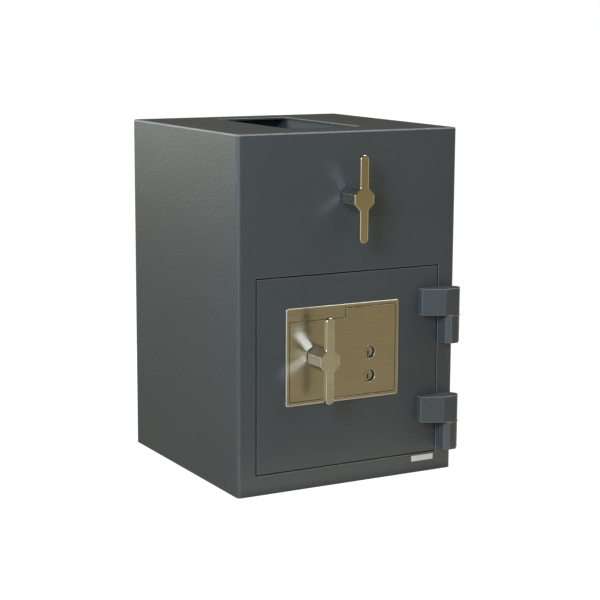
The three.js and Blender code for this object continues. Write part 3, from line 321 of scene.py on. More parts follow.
def cut_edges(corners):
    """Painted shade: all of it on the sheet's cut edge round the door opening, a part on the mouth's
    walls.
    """
    x, y, z = np.moveaxis(corners, -1, 0)
    in_sheet = (y > body_low[1] + NEAR) & (y < body_low[1] + SHEET + NEAR)
    in_height = (z > opening_z[0] - NEAR) & (z < opening_z[1] + NEAR)
    at_door = in_sheet & in_height & (abs(x) < opening_x + NEAR)
    in_mouth = (abs(x) < MOUTH[2] + NEAR) & (y > MOUTH[1] - NEAR) & (y < MOUTH[3] + NEAR)
    at_mouth = in_mouth & (z > body_high[2] - NEAR) & (z < top_of_safe - EASE / 2)
    return np.maximum(at_door, at_mouth * MOUTH_SHADE)


wear_and_highlight_edges(body_shell, lambda middles: np.where(middles[:, 2] > WEAR_AND_HIGHLIGHT_CHANGES, TOP_WEAR_AND_HIGHLIGHT, FRONT_WEAR_AND_HIGHLIGHT))
# The cut edge round the door and the mouth's walls are darkened as painted shade.
shade_gap(body_shell, cut_edges)


class Value:
    """A number on a material's wire, whose operators add Math nodes. Either side may be a plain number."""

    def __init__(self, wires, socket):
        self.wires = wires
        self.socket = socket

    def maths(self, operation, left, right):
        return self.wires.node("ShaderNodeMath", {"operation": operation}, {0: left, 1: right})

    def __add__(self, other):
        return self.maths("ADD", self, other)

    def __sub__(self, other):
        return self.maths("SUBTRACT", self, other)

    def __rsub__(self, other):
        return self.maths("SUBTRACT", other, self)

    def __mul__(self, other):
        return self.maths("MULTIPLY", self, other)

    def __pow__(self, other):
        return self.maths("POWER", self, other)

    def above(self, other):
        return self.maths("MAXIMUM", self, other)

    def below(self, other):
        return self.maths("MINIMUM", self, other)

    __radd__ = __add__
    __rmul__ = __mul__


class Wires:
    """A tree of shader nodes. node() adds any node from its type, its settings and its sockets' values or
    links, and gives one of its outputs."""

    def __init__(self, owner):
        owner.use_nodes = True
        self.tree = owner.node_tree

    def feed(self, node, sockets):
        for key, value in sockets.items():
            if isinstance(value, Value):
                self.tree.links.new(value.socket, node.inputs[key])
            else:
                node.inputs[key].default_value = value

    def node(self, kind, settings=None, sockets=None, output=0):
        made = self.tree.nodes.new(kind)
        for key, value in (settings or {}).items():
            setattr(made, key, value)
        self.feed(made, sockets or {})
        return Value(self, made.outputs[output])

    def between(self, share, low, high, blend="MIX"):
        """A colour between two, by a share from 0 to 1. The blend ADD adds that share of high to low."""
        low, high = [colour if isinstance(colour, Value) else (*colour, 1) for colour in (low, high)]
        settings = {"data_type": "RGBA", "blend_type": blend}
        return self.node("ShaderNodeMix", settings, {0: share, 6: low, 7: high}, output=2)


class Finish(Wires):
    """One procedural material, on the piece's own place in the safe. Its sizes are in metres."""

    def __init__(self, name, **constants):
        self.material = bpy.data.materials.new(name)
        super().__init__(self.material)
        self.shader = self.tree.nodes["Principled BSDF"]
        self.shows(**constants)
        self.place = self.node("ShaderNodeTexCoord", output=3)

    def shows(self, **sockets):
        """Set the shader's own sockets, written with underscores for spaces."""
        self.feed(self.shader, {key.replace("_", " "): value for key, value in sockets.items()})

    def mark(self, name):
        """The share of a mark that mark_faces gave the face, and 0 on a piece without the mark."""
        return self.node("ShaderNodeAttribute", {"attribute_name": name}, output=2)

    def noise(self, scale, detail=2, stretch=None):
        """Even noise from 0 to 1 with so many grains a metre, stretched along an axis if asked."""
        place = self.place
        if stretch:
            place = self.node("ShaderNodeMapping", None, {"Vector": place, "Scale": stretch})
        return self.node("ShaderNodeTexNoise", None, {"Vector": place, "Scale": scale, "Detail": detail})

    def relief(self, height, distance, strength, edge=0.0):
        """A normal bent by a height. On a node with sharp corners, edge is the radius that rounds them."""
        sockets = {"Height": height, "Distance": distance, "Strength": strength}
        if edge:
            sockets["Normal"] = self.node("ShaderNodeBevel", {"samples": 4}, {"Radius": edge})
        return self.node("ShaderNodeBump", None, sockets)


PEBBLES = 620                       # a metre, as all noise is counted
GRAINS = 230
DRIFTS = 7
PEBBLE_TONE = 0.9
GRAIN_TONE = 0.9
DRIFT_TONE = 0.5
GRAIN_HEIGHT = 1.4
PAINT_RELIEF = 0.0007               # metres
PEBBLE_GLOSS = 0.25
DRIFT_GLOSS = 0.08
# Marked edges get a paler colour, partly as wear and partly as a painted highlight, and less roughness.
RUBBED_GLOSS = 0.12
WEAR_AND_HIGHLIGHT_EVEN = 0.4
WEAR_AND_HIGHLIGHT_LIFT = 0.10
WEAR_AND_HIGHLIGHT_GAIN = 1.5
# In gaps the paint is darkened to a near-black colour as painted shade, and made rougher.
GAP_DULLNESS = 0.4
GAP_SHADE_COLOUR = (0.006, 0.007, 0.008)


def textured_paint(name, dark, light, roughness, edge=0.0, shine=0.5):
    """Baked textured paint: close pebbles over a larger grain in the relief and the tone, and a slow drift
    of tone and gloss. Marked edges are paler and smoother, partly as wear and partly as a painted
    highlight, and in a gap the colour is painted dark as shade, and made duller."""
    paint = Finish(name, Specular_IOR_Level=shine)
    pebbles = paint.noise(PEBBLES, detail=2)
    grain = paint.noise(GRAINS, detail=3)
    drift = paint.noise(DRIFTS, detail=3)
    # Every noise is centred on one half, and so is their sum when its excess is taken off.
    excess = (DRIFT_TONE + PEBBLE_TONE + GRAIN_TONE - 1) / 2
    tone = drift * DRIFT_TONE + pebbles * PEBBLE_TONE + grain * GRAIN_TONE - excess
    # Marked edges: paler as wear and as a painted highlight.
    wear_and_highlight = (paint.mark("wear_and_highlight") * (grain + WEAR_AND_HIGHLIGHT_EVEN)).below(1)
    # The share of painted shade that shade_gap gave the face.
    gap_shade = paint.mark("gap_shade")
    wear_and_highlight_colour = tuple(WEAR_AND_HIGHLIGHT_LIFT + WEAR_AND_HIGHLIGHT_GAIN * part for part in light)
    coat = paint.between(wear_and_highlight, paint.between(tone, dark, light), wear_and_highlight_colour)
    uneven = (pebbles - 0.5) * PEBBLE_GLOSS + (drift - 0.5) * DRIFT_GLOSS
    paint.shows(
        Base_Color=paint.between(gap_shade, coat, GAP_SHADE_COLOUR),
        Roughness=roughness + uneven - wear_and_highlight * RUBBED_GLOSS + gap_shade * GAP_DULLNESS,
        Normal=paint.relief(pebbles + grain * GRAIN_HEIGHT, PAINT_RELIEF, strength=0.5, edge=edge),
    )
    return paint


GREY_BLUE = {"dark": (0.049, 0.061, 0.074), "light": (0.067, 0.080, 0.094), "roughness": 0.46}
body_paint = textured_paint("body_paint", **GREY_BLUE)
dress(body_shell, body_paint, "body_paint", "cabinet", "body_wrap", "top_plate")


# Back plate, bottom plate and door frame. Flat plates and a heavy ring, welded inside the bent sheet and
# painted with it. The ring steps in to the lip that the shut door rests against.
def keep_node(finish, *nodes):
    """Nodes whose shape is already right only get a finish."""
    for node in nodes:
        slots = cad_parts[node].data.materials
        slots.clear()
        slots.append(finish.material)


body_paint_on_nodes = textured_paint("body_paint_on_nodes", **GREY_BLUE, edge=0.0007)
keep_node(body_paint_on_nodes, "back_plate", "bottom_plate", "door_frame")


# Hopper housing. Two hanger plates come down from the top plate at the ends of the drum. Two bent guards
# run between them: each slopes in at 45 degrees from the mouth's edge, then folds back and goes round the
# drum, so that nothing can be fished past it.
FLAT_RING = 0.3
RIM_STEPS = 4
SHEET_EASE = 0.3


def eased_block(outline, low, high, ease, holes=(), steps=RIM_STEPS):
    """Solid between two heights with rounded rims: its rings are the outline moved in along a quarter
    round at each end, with a narrow flat ring inside, and flat panels close it."""
    rim = quarter_rim(ease, steps)
    band = [(ease + FLAT_RING, low)] + [(inset, low + rise) for inset, rise in rim]
    band += [(inset, high - rise) for inset, rise in rim[::-1]] + [(ease + FLAT_RING, high)]
    loops = [outline] + [hole[::-1] for hole in holes]
    stacks = [
        np.stack([at_height(moved_in(loop, inset), height) for inset, height in band]) for loop in loops
    ]
    shells = [walls(stack) for stack in stacks]
    shells.append(panel([stack[0] for stack in stacks], (0, 0, -1)))
    shells.append(panel([stack[-1] for stack in stacks], (0, 0, 1)))
    return shells


def facing_front(shells):
    """From (across, up, out of the front) to the safe's (x, y, z)."""
    return [(points[:, [0, 2, 1]] * (1, -1, 1), blocks) for points, blocks in shells]


def arc(x, y, radius, start, end, steps):
    """Points of an arc between two angles in degrees: centre + radius * (cos, sin)."""
    angle = np.radians(np.linspace(start, end, steps))
    return np.stack([x + radius * np.cos(angle), y + radius * np.sin(angle)], axis=1)


def bent_sheet(line, thickness):
    """Closed section of a bent sheet: a line, and the same line moved sideways by the thickness along its
    mitres."""
    along = np.diff(line, axis=0)
    along /= np.linalg.norm(along, axis=1, keepdims=True)
    side = np.stack([-along[:, 1], along[:, 0]], axis=1)
    mitre = np.concatenate([side[:1], side]) + np.concatenate([side, side[-1:]])
    moved = line + thickness * 2 * mitre / np.sum(mitre**2, axis=1, keepdims=True)
    section = np.concatenate([line, moved[::-1]])
    after = np.roll(section, -1, axis=0)
    area = np.sum(section[:, 0] * after[:, 1] - section[:, 1] * after[:, 0])
    return section if area > 0 else section[::-1]


def add_sheet(node, section):
    """A bent sheet: its section, seen from the front, carried from the node's back to its front."""
    low, high = box_mm(node)
    block = eased_block(section, -high[1], -low[1], SHEET_EASE, steps=2)
    return add_piece(node + "_sheet", facing_front(block))


DRUM_AXIS_Z = 415.5
GUARD_RADIUS = 85
GUARD_LIP = 61
GUARD_FLANGE = 15
GUARD_SHEET = 2
GUARD_END = 130
GUARD_STEPS = 49
NODE_EDGE = 0.0005       # metres
INNER = {"dark": (0.016, 0.023, 0.035), "light": (0.025, 0.035, 0.050), "roughness": 0.52, "shine": 0.4}
# A near-black paint that stands in for the shade deep in the mouth: painted shade.
DEEP_SHADE_PAINT = {"dark": (0.004, 0.005, 0.006), "light": (0.009, 0.011, 0.012), "roughness": 0.7, "shine": 0.15}
inner_paint = textured_paint("inner_paint", **INNER)
deep_shade_paint_on_nodes = textured_paint("deep_shade_paint_on_nodes", **DEEP_SHADE_PAINT, edge=NODE_EDGE)
# The hangers take the near-black paint as painted shade inside the mouth.
keep_node(deep_shade_paint_on_nodes, "hopper_front_hanger", "hopper_rear_hanger")

# The slope runs in from the lip until (lip - run)^2 + (rise - run)^2 is the square of the guard's radius.
lip_rise = body_high[2] - DRUM_AXIS_Z
chute_run = (GUARD_LIP + lip_rise - math.sqrt(2 * GUARD_RADIUS**2 - (GUARD_LIP - lip_rise) ** 2)) / 2
guard_start = math.degrees(math.atan2(GUARD_LIP - chute_run, lip_rise - chute_run))
flange = [(GUARD_LIP + GUARD_FLANGE, body_high[2]), (GUARD_LIP, body_high[2])]
round_back = arc(0, DRUM_AXIS_Z, GUARD_RADIUS, 90 - guard_start, 90 - GUARD_END, GUARD_STEPS)
line = np.concatenate([flange, round_back])
for name, side in (("hopper_guard_left", -1), ("hopper_guard_right", 1)):
    guard = add_sheet(name, bent_sheet(line * (side, 1), side * GUARD_SHEET))
    dress(guard, inner_paint, "inner_paint", "cabinet", name)


# Drum. A V-shaped pan takes the deposit, and a round skin closes the mouth behind it as the drum turns
# over. Two end discs join them, with the front spindle, the rear stub and the lug for the stop studs.
def bar_profile(radius, low, high, ease):
    """(radius, height) from the axis out, up and back to the axis, with quarter rounds at both rims."""
    rim = quarter_rim(ease, RIM_STEPS)
    lower = np.stack([radius - rim[:, 0], low + rim[:, 1]], axis=1)
    upper = np.stack([radius - rim[::-1, 0], high - rim[::-1, 1]], axis=1)
    inner = radius - ease - FLAT_RING
    return np.concatenate([[(0, low), (inner, low)], lower, upper, [(inner, high), (0, high)]])


def turned(profile, steps=64):
    """Surface of revolution: each (radius, height) goes round as (radius cos u, radius sin u, height)."""
    u = np.linspace(0, 2 * math.pi, steps, endpoint=False)
    radius, height = profile[:, :1], profile[:, 1:]
    return [walls(np.stack([radius * np.cos(u), radius * np.sin(u), height + 0 * u], axis=-1))]


def shifted(shells, x=0, y=0, z=0):
    """The same shells moved in the safe's frame."""
    return [(points + (x, y, z), blocks) for points, blocks in shells]


DRUM_RADIUS = 82
DRUM_SHEET = 2
DISC_EASE = 0.4
DISC_STEPS = 128
SKIN_STEPS = 97
PAN_FLOOR_RADIUS = 16
PAN_FLOOR_STEPS = 12
PAN_FOOT = -4.0
# A darker copy of the body paint for the pan: painted shade on the wall seen through the mouth.
DRUM_SHADED_COAT = {"dark": (0.034, 0.045, 0.059), "light": (0.047, 0.060, 0.076), "roughness": 0.50}
# The end discs take the near-black paint as painted shade deep in the mouth, though their slot is the
# inner paint.
deep_shade_paint = textured_paint("deep_shade_paint", **DEEP_SHADE_PAINT)
for name in ("drum_front_disc", "drum_rear_disc"):
    low, high = box_mm(name)
    profile = bar_profile(DRUM_RADIUS, -high[1], -low[1], DISC_EASE)
    disc = add_piece(name + "_turned", shifted(facing_front(turned(profile, DISC_STEPS)), z=DRUM_AXIS_Z))
    dress(disc, deep_shade_paint, "inner_paint", "hopper", name)

# The skin leaves the drum open over the width of the mouth.
skin_edge = math.degrees(math.asin(MOUTH[2] / DRUM_RADIUS))
line = arc(0, DRUM_AXIS_Z, DRUM_RADIUS, 90 + skin_edge, 450 - skin_edge, SKIN_STEPS)
skin = add_sheet("drum_skin", bent_sheet(line, DRUM_SHEET))
dress(skin, body_paint, "body_paint", "hopper", "drum_skin")

# The pan's sides stand at 45 degrees. Only the lowest of the square's four rounded corners is used.
reach = box_mm("drum_pan")[1][0] - DRUM_SHEET / math.sqrt(2)
sides = [(-reach, PAN_FOOT + reach), (0, PAN_FOOT), (reach, PAN_FOOT + reach), (0, 2 * reach)]
floor_arc = round_corners(sides, (1, PAN_FLOOR_RADIUS, 1, 1), PAN_FLOOR_STEPS)[1]
line = np.concatenate([sides[:1], floor_arc, sides[2:3]]) + (0, DRUM_AXIS_Z)
pan = add_sheet("drum_pan", bent_sheet(line, -DRUM_SHEET))
# The pan takes the darker copy of the body paint as painted shade.
dress(pan, textured_paint("drum_paint_shaded", **DRUM_SHADED_COAT), "body_paint", "hopper", "drum_pan")


# Turned steel: spindles, stubs, studs, pins and bolts are bars with eased ends. The zinc on the mechanism
# is dull and cloudy, the locking bolts and hinge pins are ground bright, and the bushes are bronze.
# Paler colour for marked metal edges, partly wear and partly a painted highlight.
WORN_AND_HIGHLIT_METAL = (0.88, 0.87, 0.83)
CLOUDS = 25
CUT_RELIEF = 0.00003     # metres
CUT_GLOSS = 0.12
CLOUD_GLOSS = 0.08
WORN_DULLNESS = 0.25
BAR_EASE = 0.5
BAR_STEPS = 48


def metal(name, dark, light, roughness, brush=None, edge=0.0, scale=700, contrast=0.3):
    """Worked metal: fine cutting lines or brushing in gloss and relief, and a slow cloudiness in the tone.
    Marked edges are paler and duller: partly wear, where handling and grinding have taken the surface off
    them, and partly a painted highlight along the edge."""
    made = Finish(name, Metallic=1.0)
    lines = made.noise(scale, detail=3, stretch=brush)
    clouds = made.noise(CLOUDS, detail=3)
    wear_and_highlight = made.mark("wear_and_highlight")
    tone = clouds * (1 - contrast) + lines * contrast
    uneven = (lines - 0.5) * CUT_GLOSS + (clouds - 0.5) * CLOUD_GLOSS
    made.shows(
        Base_Color=made.between(wear_and_highlight, made.between(tone, dark, light), WORN_AND_HIGHLIT_METAL),
        Roughness=roughness + uneven + wear_and_highlight * WORN_DULLNESS,
        Normal=made.relief(lines, CUT_RELIEF, strength=0.25, edge=edge),
    )
    return made


zinc_steel = metal("zinc_steel", (0.30, 0.31, 0.31), (0.44, 0.45, 0.44), roughness=0.40, edge=0.0004)
bright_steel = metal(
    "bright_steel", (0.50, 0.50, 0.49), (0.62, 0.62, 0.60), roughness=0.24, brush=(1, 1, 8)
)
bronze = metal("bronze", (0.36, 0.23, 0.09), (0.46, 0.31, 0.13), roughness=0.36, edge=0.0003)
for name, body in (
    ("hopper_spindle", "hopper"),
    ("hopper_rear_stub", "hopper"),
    ("drum_stop_lug", "hopper"),
    ("hopper_stop_rest", "cabinet"),
    ("hopper_stop_dump", "cabinet"),
    ("door_spindle", "handle_drive"),
):
    low, high = box_mm(name)
    x, _, z = (low + high) / 2
    profile = bar_profile((high[0] - low[0]) / 2, -high[1], -low[1], BAR_EASE)
    bar = add_piece(name + "_bar", shifted(facing_front(turned(profile, BAR_STEPS)), x, 0, z))
    dress(bar, zinc_steel, "zinc_steel", body, name)
keep_node(bronze, "hopper_front_bush", "hopper_rear_bush", "door_spindle_bush")
keep_node(bright_steel, "hinge_pin_upper", "hinge_pin_lower")


# Hinges. Each has a cast leaf welded to the door above a knuckle welded to the frame, with a dull, oiled
# washer between them on the pin. The leaf rises from a thin tip to a crest, and its round back turns clear
# of the frame.
HINGE_X = 164.5
PIN_OUT = 14
BARREL_RADIUS = 13.5
BARREL_START = 10
BARREL_STEPS = 25
CASTING_CORNER = 0.9
CASTING_EASE = 1.0
CASTING_WEAR_AND_HIGHLIGHT = 0.7
WASHER_BORE = 5.3
WASHER_EASE = 0.3
LEAF_FRONT = [(-48.5, 0), (-48.5, 11), (-17.5, 26.5), (5, 26.5)]
LEAF_BARREL_END = -90
LEAF_TAIL = [(-16.0, 0.5), (-16.0, 0)]
KNUCKLE_FRONT = [(-13, 0), (-13, 20), (-6.5, 26), (5, 26)]
KNUCKLE_BARREL_END = -30
KNUCKLE_TAIL = [(7.8, 0)]


def hinge_outline(front, barrel_end, tail):
    """Outline round a hinge casting in the safe's X and Y: eased corners, the barrel's arc and the tail.
    The points that it takes are (right of the pin, out of the front)."""
    barrel = arc(0, PIN_OUT, BARREL_RADIUS, BARREL_START, barrel_end, BARREL_STEPS)
    corners = [*front, barrel[0], barrel[-1], *tail]
    eased = round_corners(corners, CASTING_CORNER, 4)
    before, after = eased[:len(front)], eased[len(front) + 2:]
    whole = np.concatenate([before.reshape(-1, 2), barrel, after.reshape(-1, 2)])
    return whole * (1, -1) + (HINGE_X, body_low[1])


def ring_profile(inner, outer, low, high, ease):
    """Closed (radius, height) section of a ring with rounded edges, its first point again at the end."""
    section = rectangle(inner, low, outer, high, ease, RIM_STEPS)
    return np.concatenate([section, section[:1]])


oiled_steel = metal("oiled_steel", (0.25, 0.23, 0.15), (0.35, 0.32, 0.22), roughness=0.42)
for place in ("upper", "lower"):
    for part, body, outline in (
        ("leaf", "door", hinge_outline(LEAF_FRONT, LEAF_BARREL_END, LEAF_TAIL)),
        ("knuckle", "cabinet", hinge_outline(KNUCKLE_FRONT, KNUCKLE_BARREL_END, KNUCKLE_TAIL)),
    ):
        node = "hinge_%s_%s" % (part, place)
        low, high = box_mm(node)
        block = eased_block(outline, low[2], high[2], CASTING_EASE)
        casting = add_piece("hinge_%s_casting_%s" % (part, place), block)
        # The casting's edges are painted paler, as wear and as a painted highlight.
        wear_and_highlight_edges(casting, CASTING_WEAR_AND_HIGHLIGHT)
        dress(casting, body_paint, "body_paint", body, node)
    low, high = box_mm("hinge_washer_" + place)
    profile = ring_profile(WASHER_BORE, (high[0] - low[0]) / 2, low[2], high[2], WASHER_EASE)
    ring = shifted(turned(profile), HINGE_X, body_low[1] - PIN_OUT)
    washer = add_piece("hinge_washer_turned_" + place, ring)
    dress(washer, oiled_steel, "bright_steel", "cabinet", "hinge_washer_" + place)


# Door plate. Half-inch steel, flush in its opening with a narrow gap all round, painted with the body. Two
# holes let the lock's noses through, and a larger one takes the bush of the handle's spindle.
KEY_X = 33
KEY_HEIGHTS = (190, 155.5)
KEY_HOLE = 16.6
HANDLE_X = -53.5
HANDLE_Z = 191.5
HANDLE_HOLE = 23.1
DOOR_CORNER = 1.0
DOOR_EASE = 0.9
DOOR_WEAR_AND_HIGHLIGHT = 0.25
LEDGE_RADIUS = 10
SIDE_DEPTH = 1.5
BEHIND_FACE = 0.2
CIRCLE_STEPS = 48


def circle(x, y, diameter):
    """Outline of a circle, anticlockwise: an arc of 360 degrees without its last point."""
    return arc(x, y, diameter / 2, 0, 360, CIRCLE_STEPS + 1)[:-1]


outline = rectangle(door_low[0], door_low[2], door_high[0], door_high[2], DOOR_CORNER)
holes = [circle(KEY_X, z, KEY_HOLE) for z in KEY_HEIGHTS] + [circle(HANDLE_X, HANDLE_Z, HANDLE_HOLE)]
slab = eased_block(outline, -door_high[1], -door_low[1], DOOR_EASE, holes)
door = add_piece("door_slab", facing_front(slab))
# The door's edges are painted a little paler, as wear and as a painted highlight.
wear_and_highlight_edges(door, DOOR_WEAR_AND_HIGHLIGHT)


def beside_door(corners):
    """Whether places lie on the door's four sides, or on the ledges round its key holes, to take painted
    shade.
    """
    x, y, z = np.moveaxis(corners, -1, 0)
    on_ledge = np.min([np.hypot(x - KEY_X, z - key_z) for key_z in KEY_HEIGHTS], axis=0) < LEDGE_RADIUS
    at_ends = (z < door_low[2] + SIDE_DEPTH) | (z > door_high[2] - SIDE_DEPTH)
    on_side = (abs(x) > door_high[0] - SIDE_DEPTH) | at_ends
    return on_ledge | (on_side & (y > door_low[1] + BEHIND_FACE))


# The door's sides and the ledges round its key holes are darkened as painted shade.
shade_gap(door, beside_door)
dress(door, body_paint, "body_paint", "door", "door_plate")


# Face plate. A thin nickelled sheet with satin brushing across it, pierced for the handle and the two key
# ways. A dark line is engraved near its rim and steps in round a field for a name, which stays bare.
PLATE_CORNER = 3
PLATE_EASE = 1.0
PLATE_FLAT = 1.7
KEY_OPENING = 18.6
OPENING_EASE = 0.5
LINE_INSET = 5
LINE_WIDTH = 1.25
LINE_DEPTH = 0.4
LINE_CORNER = 0.4
LINE_LIP = 0.1
LINE_LEAN = 0.15
NAME_FIELD = (90, 14)
low, high = box_mm("face_plate")
left, right, bottom, top = low[0], high[0], low[2], high[2]
front, back = -low[1], -high[1]


def engraved_line(inset):
    """Corners of the line's edge at an inset from the plate's rim, anticlockwise."""
    x0, x1, z0, z1 = left + inset, right - inset, bottom + inset, top - inset
    step_x, step_z = x0 + NAME_FIELD[0], z1 - NAME_FIELD[1]
    corners = [(x0, z0), (x1, z0), (x1, z1), (step_x, z1), (step_x, step_z), (x0, step_z)]
    return round_corners(corners, LINE_CORNER, 3).reshape(-1, 2)


def groove_wall(line, way):
    """Rings down one wall of the groove, leaning inwards where way is 1 and outwards where it is -1."""
    return np.stack([
        at_height(line, front),
        at_height(moved_in(line, way * LINE_LIP), front - LINE_LIP),
        at_height(moved_in(line, way * LINE_LEAN), front - LINE_DEPTH),
    ])


edge = rectangle(left, bottom, right, top, PLATE_CORNER, 8)
edge_rings = wall_to_rim(edge, back, front, PLATE_EASE, 4)
edge_rings = np.concatenate([edge_rings, [at_height(moved_in(edge, PLATE_FLAT), front)]])
outside = engraved_line(LINE_INSET)
inside = engraved_line(LINE_INSET + LINE_WIDTH)
outside_rings = groove_wall(outside, 1)[:, ::-1]
inside_rings = groove_wall(inside, -1)[::-1]
holes = [circle(KEY_X, z, KEY_OPENING) for z in KEY_HEIGHTS] + [circle(HANDLE_X, HANDLE_Z, HANDLE_HOLE)]
hole_rings = [wall_to_rim(hole[::-1], back, front, OPENING_EASE) for hole in holes]
face_plate = add_piece(
    "face_plate_sheet",
    facing_front(
        [walls(rings) for rings in (edge_rings, inside_rings, outside_rings[::-1], *hole_rings)]
        + [
            panel([edge_rings[0]] + [rings[0] for rings in hole_rings], (0, 0, -1)),
            panel([edge_rings[-1], outside_rings[0]], (0, 0, 1)),
            panel([outside_rings[-1], inside_rings[0]], (0, 0, 1)),
            panel([inside_rings[-1]] + [rings[-1] for rings in hole_rings], (0, 0, 1)),
        ]
    ),
)
RIM_BAND = 2
RIM_WEAR_AND_HIGHLIGHT = 0.55
HOLE_WEAR_AND_HIGHLIGHT = 0.45


def plate_wear_and_highlight(middles):
    """A little more of the wear and painted highlight near the plate's rim than round its holes and
    along the line.
    """
    x, _, z = middles.T / MM
    from_rim = np.min([x - left, right - x, z - bottom, top - z], axis=0)
    return np.where(from_rim < RIM_BAND, RIM_WEAR_AND_HIGHLIGHT, HOLE_WEAR_AND_HIGHLIGHT)


satin_nickel = metal(
    "satin_nickel",
    (0.44, 0.41, 0.35),
    (0.66, 0.63, 0.54),
    roughness=0.30,
    brush=(0.03, 1, 1),
    scale=900,
    contrast=0.6,
)
# The plate's edges are painted paler, as wear and as a painted highlight.
wear_and_highlight_edges(face_plate, plate_wear_and_highlight)
dress(face_plate, satin_nickel, "nickel", "door", "face_plate")

# The ink fills the groove to just below the plate, and goes a hair into its foot and walls.
INK_BELOW = 0.04
INK_INTO = 0.05
line_ink = Finish("line_ink", Roughness=0.6)
ink_grain = line_ink.noise(scale=700)
line_ink.shows(Base_Color=line_ink.between(ink_grain, (0.006, 0.005, 0.004), (0.020, 0.017, 0.012)))
ink = eased_block(
    moved_in(outside, LINE_LIP),
    front - LINE_DEPTH - INK_INTO,
    front - INK_BELOW,
    ease=0.03,
    holes=[moved_in(inside, -LINE_LIP)],
    steps=1,
)
dress(add_piece("face_line_ink", facing_front(ink)), line_ink, "nickel", "door")


# Lock. A steel case behind a hard plate, with two tubular noses that reach into the door's holes. A
# nickelled ring finishes each nose, and the plug inside has the slot for the key.
NOSE_INNER = 6.32
NOSE_OUTER = 8.15
NOSE_BACK = 168
NOSE_FRONT = 174.95
NOSE_EASE = 0.35
NOSE_WEAR_AND_HIGHLIGHT = 0.8
keep_node(zinc_steel, "hard_plate", "lock_case")
keep_node(bronze, "lock_bolt")
for place, z in zip(("upper", "lower"), KEY_HEIGHTS):
    profile = ring_profile(NOSE_INNER, NOSE_OUTER, NOSE_BACK, NOSE_FRONT, NOSE_EASE)
    nose = add_piece("lock_nose_ring_" + place, shifted(facing_front(turned(profile)), KEY_X, 0, z))
    # The ring's edges are painted paler, as wear and as a painted highlight.
    wear_and_highlight_edges(nose, NOSE_WEAR_AND_HIGHLIGHT)
    dress(nose, satin_nickel, "nickel", "door")
keep_node(satin_nickel, "key_plug_upper", "key_plug_lower")


# Boltwork. The spindle's crank drives a plate carriage, and the two ground bolts screwed to its flange
# slide in square guides. Shouldered studs hold the carriage to the door, and a fixed dead bar hooks behind
# the frame.
BOLT_EASE = 2.0
keep_node(
    zinc_steel,
    "bolt_carriage",
    "spindle_crank",
    "bolt_guide_upper",
    "bolt_guide_lower",
    "dead_bar",
    "carriage_stud_upper",
    "carriage_stud_lower",
    "bolt_screw_upper",
    "bolt_screw_lower",
)
for place in ("upper", "lower"):
    low, high = box_mm("locking_bolt_" + place)
    _, y, z = (low + high) / 2
    [(points, blocks)] = turned(bar_profile((high[2] - low[2]) / 2, low[0], high[0], BOLT_EASE))
    bolt = add_piece("locking_bolt_bar_" + place, [(points[:, [2, 0, 1]] + (0, y, z), blocks)])
    dress(bolt, bright_steel, "bright_steel", "boltwork", "locking_bolt_" + place)


# Boltwork cover. A folded pan over the carriage and the lock, painted as the inside is, and held by four
# flanged screws into posts on the door.
SCREW_IN_X = 14
SCREW_IN_Z = 12
SCREW_EASE = 0.5
HEAD_RADIUS = 5.6
HEAD_CORNER = 0.4
HEAD_RISE = (0.8, 4.2)        # from and to, behind the cover
FLANGE_RADIUS = 6.8
FLANGE_RISE = (-0.5, 1.2)


def polygon(sides, radius, corner, steps):
    """Outline of a regular polygon with rounded corners. The middle of one side points along x."""
    half = 180 / sides
    return round_corners(arc(0, 0, radius, half, 360 - half, sides), corner, steps).reshape(-1, 2)


inner_paint_on_nodes = textured_paint("inner_paint_on_nodes", **INNER, edge=NODE_EDGE)
keep_node(inner_paint_on_nodes, "boltwork_cover")
low, high = box_mm("boltwork_cover")
hexagon = polygon(6, HEAD_RADIUS, HEAD_CORNER, 3)
head = eased_block(hexagon, high[1] + HEAD_RISE[0], high[1] + HEAD_RISE[1], SCREW_EASE)
head += turned(bar_profile(FLANGE_RADIUS, high[1] + FLANGE_RISE[0], high[1] + FLANGE_RISE[1], SCREW_EASE))
facing_back = [(points[:, [0, 2, 1]] * (-1, 1, 1), blocks) for points, blocks in head]
heights = (low[2] + SCREW_IN_Z, high[2] - SCREW_IN_Z)
columns = (low[0] + SCREW_IN_X, high[0] - SCREW_IN_X)
for number, (x, z) in enumerate([(x, z) for z in heights for x in columns], 1):
    screw = add_piece("cover_screw_%d" % number, shifted(facing_back, x, 0, z))
    dress(screw, zinc_steel, "zinc_steel", "door")


# Handles. Both are the same nickelled casting: an octagonal hub that opens into a flat bar with round
# ends, bored for the spindle. A thin black washer keeps each off the paint.
HUB = 31.75
HUB_CORNER = 0.9
HUB_PROUD = 0.02
HUB_EASE = 0.3
BAR_HALF = HUB * math.tan(math.pi / 8) / 2
HALF_LENGTH = 61.5
BAR_THICKNESS = 7.5
BAR_END = 0.9            # of half the bar's width
BAR_TO_HUB = 2.2
SLAB_CORNER = 1.8
HANDLE_EASE = 1.5
HANDLE_WASHER_BORE = 9.5
HANDLE_WASHER_EASE = 0.35
cast_nickel = metal("cast_nickel", (0.56, 0.53, 0.46), (0.64, 0.61, 0.54), roughness=0.15, scale=160)
black_nylon = Finish("black_nylon", Roughness=0.5)
speck = black_nylon.noise(scale=900)
black_nylon.shows(
    Base_Color=black_nylon.between(speck, (0.008, 0.008, 0.009), (0.016, 0.016, 0.017)),
    Normal=black_nylon.relief(speck, distance=0.0001, strength=0.3),
)


